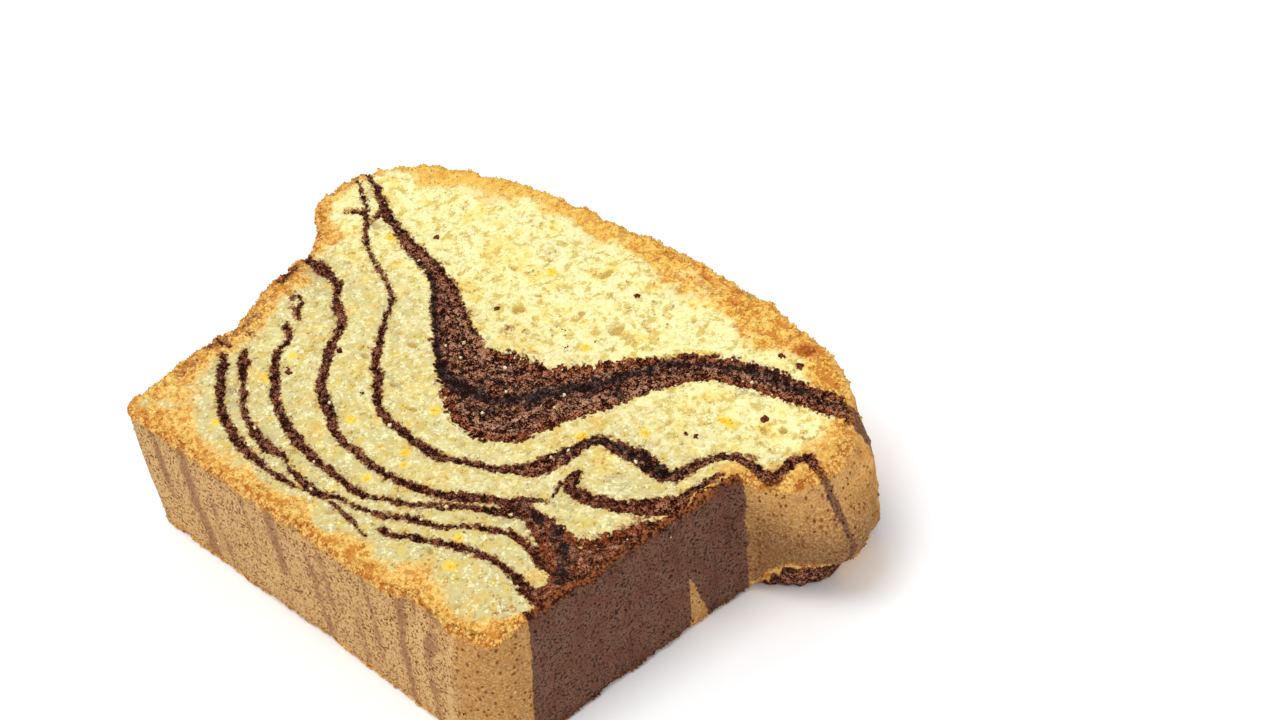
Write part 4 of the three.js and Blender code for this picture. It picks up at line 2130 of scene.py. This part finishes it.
    def _crumb(self, bench: NodeBench, grain: Outputs) -> Socket:
        """The pale crumb, with its patches, pores and stains, painted shade in its creases, hollows
        and pores, and painted highlights on its grain's tops.

        Args:
            bench: The material's bench.
            grain: The crumb's grain.

        Returns:
            The colour.
        """
        height, mottle, patches = grain["Height"], grain["Mottle"], grain["Patches"]
        lower = bench.paint("lower")
        dense = bench.total(0.0, (1.0, patches), (0.4, lower), (-0.3, height))
        sunk = bench.total(0.0, (1.0, patches), (0.22, bench.paint("hollow_shade")), (-0.25, height))
        stain = bench.total(-0.5, (1.0, bench.paint("stain")), (1.0, patches))
        # painted shade in creases, hollows and pores, and painted highlights on the grain's tops
        crumb = bench.tint(
            bench.mix(lower, self.pale, self.pale_low),
            (mottle, self.warm), (mottle, self.cool), (dense, self.dense), (sunk, self.sunk),
            (height, self.crease), (height, self.crumb_highlight), (bench.paint("pit"), self.pore),
            (stain, self.zest),
        )
        return bench.mix(bench.times(grain["Specks"], self.speck_share), crumb, self.speck)

    def _toasted(self, bench: NodeBench, grain: Outputs, grit: Outputs, crumb: Socket) -> Socket:
        """Crumb made golden and craggy towards the crust, with painted shade in its low crags and
        hollows and painted highlights on their tops.

        Args:
            bench: The material's bench.
            grain: The crumb's grain.
            grit: The finer grain.
            crumb: Colour of the crumb.

        Returns:
            The colour.
        """
        patches = grain["Patches"]
        toast = bench.total(
            -0.8, (1.0, bench.paint("toast")), (1.2, grain["Mottle"]), (0.4, patches),
        )
        # how high the crags stand, lower in hollows, with random patches: sets painted shade and
        # highlights
        craggy = bench.total(
            -0.72, (1.1, grain["Height"]), (0.7, patches), (0.9, grit["Height"]),
            (-0.22, bench.paint("hollow_shade")), (-0.2, toast),
        )
        golden = bench.mix(bench.paint("dome"), self.golden_base, self.golden)
        browned = bench.total(0.25, (0.75, bench.paint("browned")))
        scorch = bench.total(
            -0.9, (1.0, bench.paint("scorch")), (1.6, patches), (0.5, grit["Tone"]),
        )
        golden = bench.tint(
            golden, (craggy, self.toasted, browned), (craggy, self.golden_pale_and_highlight),
            (scorch, self.scorched), (scorch, self.burnt),
        )
        return bench.mix(bench.ease(toast, *self.golden_from), crumb, golden)

    def _rubbed(
        self, bench: NodeBench, grain: Outputs, grit: Outputs, cocoa: Socket, crumb: Socket,
    ) -> Socket:
        """Crumb with cocoa smeared thinly over it, greyish near the ribbons, or brown.

        Args:
            bench: The material's bench.
            grain: The crumb's grain.
            grit: The finer grain.
            cocoa: How deep a place lies in a ribbon.
            crumb: Colour of the crumb.

        Returns:
            The colour.
        """
        patches = bench.total(-1.35, (2.2, grain["Patches"]), (0.5, grit["Tone"]))
        near = bench.ease(cocoa, *self.haze_round_ribbons)
        haze = bench.total(0.0, (1.0, bench.paint("haze")), (1.0, near), (1.0, patches))
        brown = bench.total(0.0, (1.0, bench.paint("smear")), (1.0, patches))
        return bench.tint(
            crumb, (haze, self.haze), (brown, self.rubbed), (brown, self.rubbed_dark),
        )

    def _chocolate(self, bench: NodeBench, grit: Outputs, effects: SharedEffects) -> Socket:
        """The cocoa crumb: maroon where thin, brown where broad, with dark and light seams, painted
        shade in the creases of its grain and painted highlights on their tops.

        Args:
            bench: The material's bench.
            grit: The finer grain.
            effects: The shared effects.

        Returns:
            The colour.
        """
        inside, patches = bench.paint("cocoa"), grit["Patches"]
        drawn = bench.node("ShaderNodeCombineXYZ")
        bench.feed(drawn.inputs[0], bench.total(0.0, (1.0, inside), (1.2, patches)))
        bench.feed(drawn.inputs[1], bench.times(grit["Mottle"], 3.0))
        layers = bench.noise(drawn.outputs[0], 1.0)
        broad = bench.ease(inside, *self.broad_cocoa)
        rust = bench.ease(bench.paint("breadth"), *self.rust_breadth)
        middle = bench.mix(broad, bench.mix(rust, self.maroon, self.rust), self.cocoa)
        middle = bench.tint(middle, (layers, self.reddish))
        # the same colours as painted highlights, for the grain's tops
        top = bench.mix(broad, bench.mix(rust, self.maroon_highlight, self.rust_highlight), self.cocoa_highlight)
        light = bench.group(
            effects.ragged, distance=bench.paint("light_seam"), ragged=0.8, softness=0.6,
        )["Mask"]
        middle = bench.mix(bench.times(light, self.light_seam_share), middle, self.light_seam)
        top = bench.mix(bench.times(light, self.light_seam_highlight_share), top, self.light_seam_highlight)
        dark = bench.group(effects.ragged, distance=bench.paint("seam"), ragged=1.0, softness=0.95)
        thin_soot = bench.times(bench.ease(layers, *self.soot_layers), broad)
        sooty = bench.math(Step.LARGER, dark["Mask"], thin_soot)
        middle = bench.mix(bench.times(sooty, self.seam_share), middle, self.seam)
        top = bench.mix(bench.times(sooty, self.seam_highlight_share), top, self.seam_highlight)
        # how high the grain stands, lower in hollows: sets the painted shade and highlights
        grains = bench.total(
            -0.09 - self.cocoa_level,
            (1.0, grit["Height"]), (0.3, patches), (-0.14, bench.paint("hollow_shade")),
        )
        calm = bench.total(1.0, (-0.45, bench.paint("fused")))
        uneven = bench.math(Step.MULTIPLY_ADD, grains, calm, self.cocoa_level)
        colour = bench.tint(middle, (uneven, self.cocoa_crease_shade))
        return bench.mix(bench.ease(uneven, *self.cocoa_highlight_from), colour, top)


@dataclass(frozen=True)
class CrustFinish(Finish):
    """The sides: tan where the tin was, golden brown on the dome, dark where cocoa lies."""

    name: str = "baked crust"
    roughness: float = 0.8
    relief: float = 0.5
    crust_size: float = 0.4
    grain_size: float = 0.55
    tan: Colour = (169, 120, 69)
    smooth_tan: Colour = (180, 127, 67)
    drawn_mauve: Tint = Tint((150, 104, 74), 0.5, 0.66, 0.7)
    drawn_cream: Tint = Tint((220, 180, 122), 0.46, 0.32, 0.55)
    # painted shade on the lip's underside, and painted light near its top
    lip_shade: Tint = Tint((136, 95, 57), 0.0, 0.8, 0.95)
    lip_light: Tint = Tint((214, 158, 88), 0.1, -0.25, 0.8)
    # painted shade in the crust's low grain and painted highlights on its raised grain
    tan_shade: Tint = Tint((110, 62, 30), 0.0, -0.06, 0.9)
    tan_light: Tint = Tint((222, 182, 122), 0.0, 0.065, 0.85)
    streak_breaks: tuple[float, ...] = (0.36, 0.6, 0.2, 1.15)
    dark_streak: Tint = Tint((150, 104, 74), 0.05, 0.65, 0.85)
    pale_streak: Tint = Tint((220, 180, 122), -0.15, -0.8, 0.85)
    # painted shade in the crust's pits
    pit: Colour = (86, 48, 26)
    fleck: Colour = (140, 74, 38)
    dome: Colour = (220, 158, 78)
    # uneven browning, partly painted shade in creases and hollows and painted highlights on crags
    dome_shade: Tint = Tint((178, 106, 50), 0.58, 0.12)
    dome_pale_and_highlight: Tint = Tint((242, 200, 118), 0.55, 0.85)
    # how high the edge's crumbs stand: their colour on top, painted shade between them
    crumbly: Span = (0.34, 0.56)
    edge: Colour = (242, 196, 108)
    edge_shade: Colour = (192, 116, 46)
    dome_edge_shade: Colour = (226, 164, 82)
    edge_from: Span = (1.7, 0.5)
    wall_ragged: float = 0.16
    wall_softness: float = 0.16
    ribbon_ragged: float = 0.22
    ribbon_softness: float = 0.25
    ribbon_thins: tuple[float, ...] = (-0.15, 0.35, 0.0, 0.9)
    dark: Colour = (130, 92, 72)
    dark_red: Tint = Tint((112, 62, 46), 0.42, 0.6, 0.55)
    # painted shade in the dark crust's low grain
    dark_shade: Tint = Tint((54, 32, 22), 0.62, 0.34)
    dark_mauve: Tint = Tint((84, 56, 48), 0.5, 0.75, 0.5)
    dark_pale: Tint = Tint((150, 104, 74), 0.42, 0.2, 0.25)
    # the dark edge's crumbs: their colour on top, painted shade between them
    dark_edge: Colour = (158, 92, 48)
    dark_edge_shade: Colour = (60, 26, 14)
    dark_edge_from: Span = (1.2, 0.4)

    def material(self, effects: SharedEffects) -> Material:
        """Builds the material.

        Args:
            effects: The shared effects.

        Returns:
            The material.
        """
        material, bench, shader = self.start()
        crust = bench.group(effects.crust, size=self.crust_size)
        grain = bench.group(effects.grain, size=self.grain_size)
        coarse, top = bench.paint("coarse"), bench.paint("dome")
        # how high the crust's grains stand, which sets their painted shade and highlights
        speckled = bench.total(
            -0.66, (1.0, crust["Height"]), (0.3, crust["Fine"]), (0.1, grain["Tone"]),
        )
        level = bench.times(speckled, bench.total(0.18, (0.82, coarse)))
        tan = self._tan(bench, crust, level, coarse)
        pale = bench.mix(top, tan, self._dome(bench, crust, grain))
        clear = bench.total(0.95, (-0.75, coarse), (-0.55, top))
        pale = bench.mix(bench.times(crust["Flecks"], clear), pale, self.fleck)
        from_edge = bench.total(
            -2.5, (1.0, bench.paint("edge")), (3.0, crust["Broad"]), (2.0, grain["Patches"]),
        )
        # painted shade between the edge's crumbs, by how high they stand
        crumbly = bench.ease(grain["Height"], *self.crumbly)
        crease = bench.mix(top, self.edge_shade, self.dome_edge_shade)
        edge = bench.mix(crumbly, crease, self.edge)
        pale = bench.mix(bench.ease(from_edge, *self.edge_from), pale, edge)
        wall = bench.group(
            effects.ragged, distance=bench.paint("wall"), ragged=self.wall_ragged,
            softness=self.wall_softness,
        )
        ribbon = bench.group(
            effects.ragged, distance=bench.paint("cocoa"), ragged=self.ribbon_ragged,
            softness=self.ribbon_softness,
        )
        thin = bench.ease(ribbon["Moved"], *self.ribbon_thins)
        cocoa = bench.math(Step.LARGER, wall["Mask"], thin)
        dark = self._dark(bench, crust, from_edge, crumbly)
        bench.feed(shader.inputs["Base Color"], bench.mix(cocoa, pale, dark))
        bench.feed(shader.inputs["Normal"], bench.bump(crust["Height"], self.relief))
        return material

    def _tan(self, bench: NodeBench, crust: Outputs, level: Socket, coarse: Socket) -> Socket:
        """The crust that lay against the tin, coarser on the base than on the walls, with painted
        shade on the lip's underside, painted light near its top, and painted shade and highlights
        on its grain.

        Args:
            bench: The material's bench.
            crust: The crust's grain.
            level: How high its grains stand.
            coarse: How far it's the coarse crust of the base.

        Returns:
            The colour.
        """
        # the lip's painted shade, below 0 where painted light is
        underside = bench.paint("underside")
        tan = bench.mix(coarse, self.smooth_tan, self.tan)
        drawn = bench.total(0.5, (0.5, coarse))
        # fewer painted highlights where the lip is painted in shade
        lit = bench.total(1.0, (-0.6, underside))
        broken = bench.ease(crust["Fine"], *self.streak_breaks)
        streak = bench.times(bench.paint("streak"), broken)
        uneven = bench.total(-0.9, (1.35, streak), (1.8, crust["Broad"]))
        tan = bench.tint(
            tan, (crust["Drawn"], self.drawn_mauve, drawn),
            (crust["Drawn"], self.drawn_cream, drawn), (underside, self.lip_shade),
            (underside, self.lip_light), (level, self.tan_shade), (level, self.tan_light, lit),
            (uneven, self.dark_streak), (uneven, self.pale_streak),
        )
        # pits darkened with painted shade, more on the coarse base
        pitted = bench.times(crust["Pits"], bench.total(0.2, (0.5, coarse)))
        return bench.mix(pitted, tan, self.pit)

    def _dome(self, bench: NodeBench, crust: Outputs, grain: Outputs) -> Socket:
        """The open top of the loaf, browned unevenly, with painted shade in its creases and hollows
        and painted highlights on its crags.

        Args:
            bench: The material's bench.
            crust: The crust's grain.
            grain: The crumb's grain.

        Returns:
            The colour.
        """
        uneven = bench.total(
            -0.43, (1.1, crust["Broad"]), (0.35, grain["Patches"]), (0.35, grain["Height"]),
            (0.25, crust["Fine"]), (-0.25, bench.paint("hollow_shade")),
        )
        return bench.tint(self.dome, (uneven, self.dome_shade), (uneven, self.dome_pale_and_highlight))

    def _dark(
        self, bench: NodeBench, crust: Outputs, from_edge: Socket, crumbly: Socket,
    ) -> Socket:
        """The crust where cocoa lay against the tin, redder and crumbled at its cut edges, with
        painted shade in its low grain and between the edge's crumbs.

        Args:
            bench: The material's bench.
            crust: The crust's grain.
            from_edge: Distance to a cut edge, made uneven.
            crumbly: How high the crumbs at the edge stand.

        Returns:
            The colour.
        """
        dark = bench.tint(
            self.dark, (crust["Broad"], self.dark_red), (crust["Height"], self.dark_shade),
            (crust["Drawn"], self.dark_mauve), (crust["Drawn"], self.dark_pale),
        )
        # painted shade between the edge's crumbs, by how high they stand
        edge = bench.mix(crumbly, self.dark_edge_shade, self.dark_edge)
        return bench.mix(bench.ease(from_edge, *self.dark_edge_from), dark, edge)


@dataclass(frozen=True)
class BitFinish(Finish):
    """Loose bits: one tone, with painted shade where their grain lies low."""

    light: Colour = (250, 238, 184)
    shade: Colour = (220, 196, 128)
    size: float = 0.4
    relief: float = 0.2
    lit_from: Span = (0.3, 0.55)

    def material(self, effects: SharedEffects) -> Material:
        """Builds the material.

        Args:
            effects: The shared effects.

        Returns:
            The material.
        """
        material, bench, shader = self.start()
        height = bench.group(effects.grain, size=self.size)["Height"]
        # painted shade in the bits' low grain
        colour = bench.mix(bench.ease(height, *self.lit_from), self.shade, self.light)
        bench.feed(shader.inputs["Base Color"], colour)
        bench.feed(shader.inputs["Normal"], bench.bump(height, self.relief))
        return material


# ---------- studio


@dataclass(frozen=True)
class Lamp:
    """A square light: its name, its place and size in metres, and its power."""

    name: str
    place: Triple
    size: float
    power: float

    def hang(self) -> None:
        """Puts the light in the scene, facing the slice."""
        data = bpy.data.lights.new(self.name, "AREA")
        data.size = self.size
        data.energy = self.power
        lamp = linked_object(self.name, data)
        lamp.location = self.place
        lamp.rotation_euler = (-Vector(self.place)).to_track_quat("-Z", "Y").to_euler()


@dataclass(frozen=True)
class Studio:
    """A pale floor, soft light, and the camera."""

    view_azimuth: float = 46.25
    view_elevation: float = 41.82
    view_roll: float = -6.69
    camera_place: Triple = (183.9, -97.2, 230.0)
    focal_pixels: float = 1859.0
    frame_width: int = 1280
    sensor: float = 36.0
    sight: Span = (0.01, 10.0)
    floor_colour: Colour = (250, 250, 250)
    floor_roughness: float = 0.9
    floor_reach: float = 3.0
    floor_gap: float = 0.0001
    key: Lamp = Lamp("key", (-0.03, -0.17, 0.66), 0.32, 2.3)
    fill: Lamp = Lamp("fill", (0.3, -0.5, 0.4), 0.6, 0.25)
    room_light: float = 0.8
    room_colour: tuple[float, float, float, float] = (0.97, 0.98, 1.0, 1.0)

    def camera(self, offset: Array) -> None:
        """Places the camera.

        Args:
            offset: What takes the loaf's own frame to the CAD frame, in millimetres.
        """
        angles = (self.view_azimuth, self.view_elevation, self.view_roll)
        azimuth, elevation, roll = np.radians(angles)
        right = Vector((math.cos(azimuth), math.sin(azimuth), 0))
        level = Vector((-math.sin(azimuth), math.cos(azimuth), 0))
        ahead = level * math.cos(elevation) - Vector((0, 0, math.sin(elevation)))
        up = right.cross(ahead)
        turned_right = math.cos(roll) * right + math.sin(roll) * up
        turned_up = math.cos(roll) * up - math.sin(roll) * right
        data = bpy.data.cameras.new("camera")
        data.sensor_width = self.sensor
        data.lens = self.focal_pixels / self.frame_width * self.sensor
        data.clip_start, data.clip_end = self.sight
        camera = linked_object("camera", data)
        turn = Matrix((turned_right, turned_up, -ahead)).transposed()
        place = Vector((np.array(self.camera_place) + offset) * MM)
        camera.matrix_world = Matrix.Translation(place) @ turn.to_4x4()
        bpy.context.scene.camera = camera

    def floor(self) -> None:
        """A wide pale floor just under the slice."""
        r, z = self.floor_reach, -self.floor_gap
        mesh = bpy.data.meshes.new("floor")
        mesh.from_pydata([(-r, -r, z), (r, -r, z), (r, r, z), (-r, r, z)], [], [(0, 1, 2, 3)])
        material = bpy.data.materials.new("pale floor")
        material.use_nodes = True
        shader = material.node_tree.nodes["Principled BSDF"]
        shader.inputs["Base Color"].default_value = linear(self.floor_colour)
        shader.inputs["Roughness"].default_value = self.floor_roughness
        mesh.materials.append(material)
        linked_object("floor", mesh)

    def lights(self) -> None:
        """A soft key overhead, a weak fill from the front, and a bright room."""
        self.key.hang()
        self.fill.hang()
        world = bpy.data.worlds.new("room")
        world.use_nodes = True
        back = world.node_tree.nodes["Background"]
        back.inputs["Color"].default_value = self.room_colour
        back.inputs["Strength"].default_value = self.room_light
        bpy.context.scene.world = world
        bpy.context.scene.view_settings.view_transform = "Standard"


# ---------- putting it together


def main() -> None:
    """Builds the slice, its loose bits and the studio."""
    logging.basicConfig(level=logging.INFO, format="%(name)s: %(message)s")
    effects = SharedEffects.make()
    crumb, crust = CutCrumbFinish().material(effects), CrustFinish().material(effects)
    cake = SliceMesh()
    cake.build()
    cake.dress(crumb, crust)
    bits = Crumbs(cake)
    dressed(bits.crumb_grains(count=8500), crumb)
    dressed(bits.crust_grains(count=4200), crust)
    zest = BitFinish("citrus zest", light=(252, 220, 84), shade=(238, 190, 44), size=0.5)
    flecks = bits.at_spots("zest_flecks", ZEST, lump=0.38, bits=5, sunk=0.75)
    dressed(flecks, zest.material(effects))
    cocoa = BitFinish("cocoa grain", light=(124, 58, 38), shade=(64, 26, 18), size=0.4)
    specks = bits.at_spots("cocoa_specks", SPECKS, lump=0.55, bits=5, sunk=0.45)
    dressed(specks, cocoa.material(effects))
    pale = BitFinish("pale crumb", light=(246, 234, 190), shade=(214, 190, 132), size=0.4)
    fallen = bits.fallen("fallen_crumbs", count=44)
    dressed(fallen, pale.material(effects))
    studio = Studio()
    studio.floor()
    studio.lights()
    studio.camera(cake.offset)


if __name__ == "__main__":
    main()
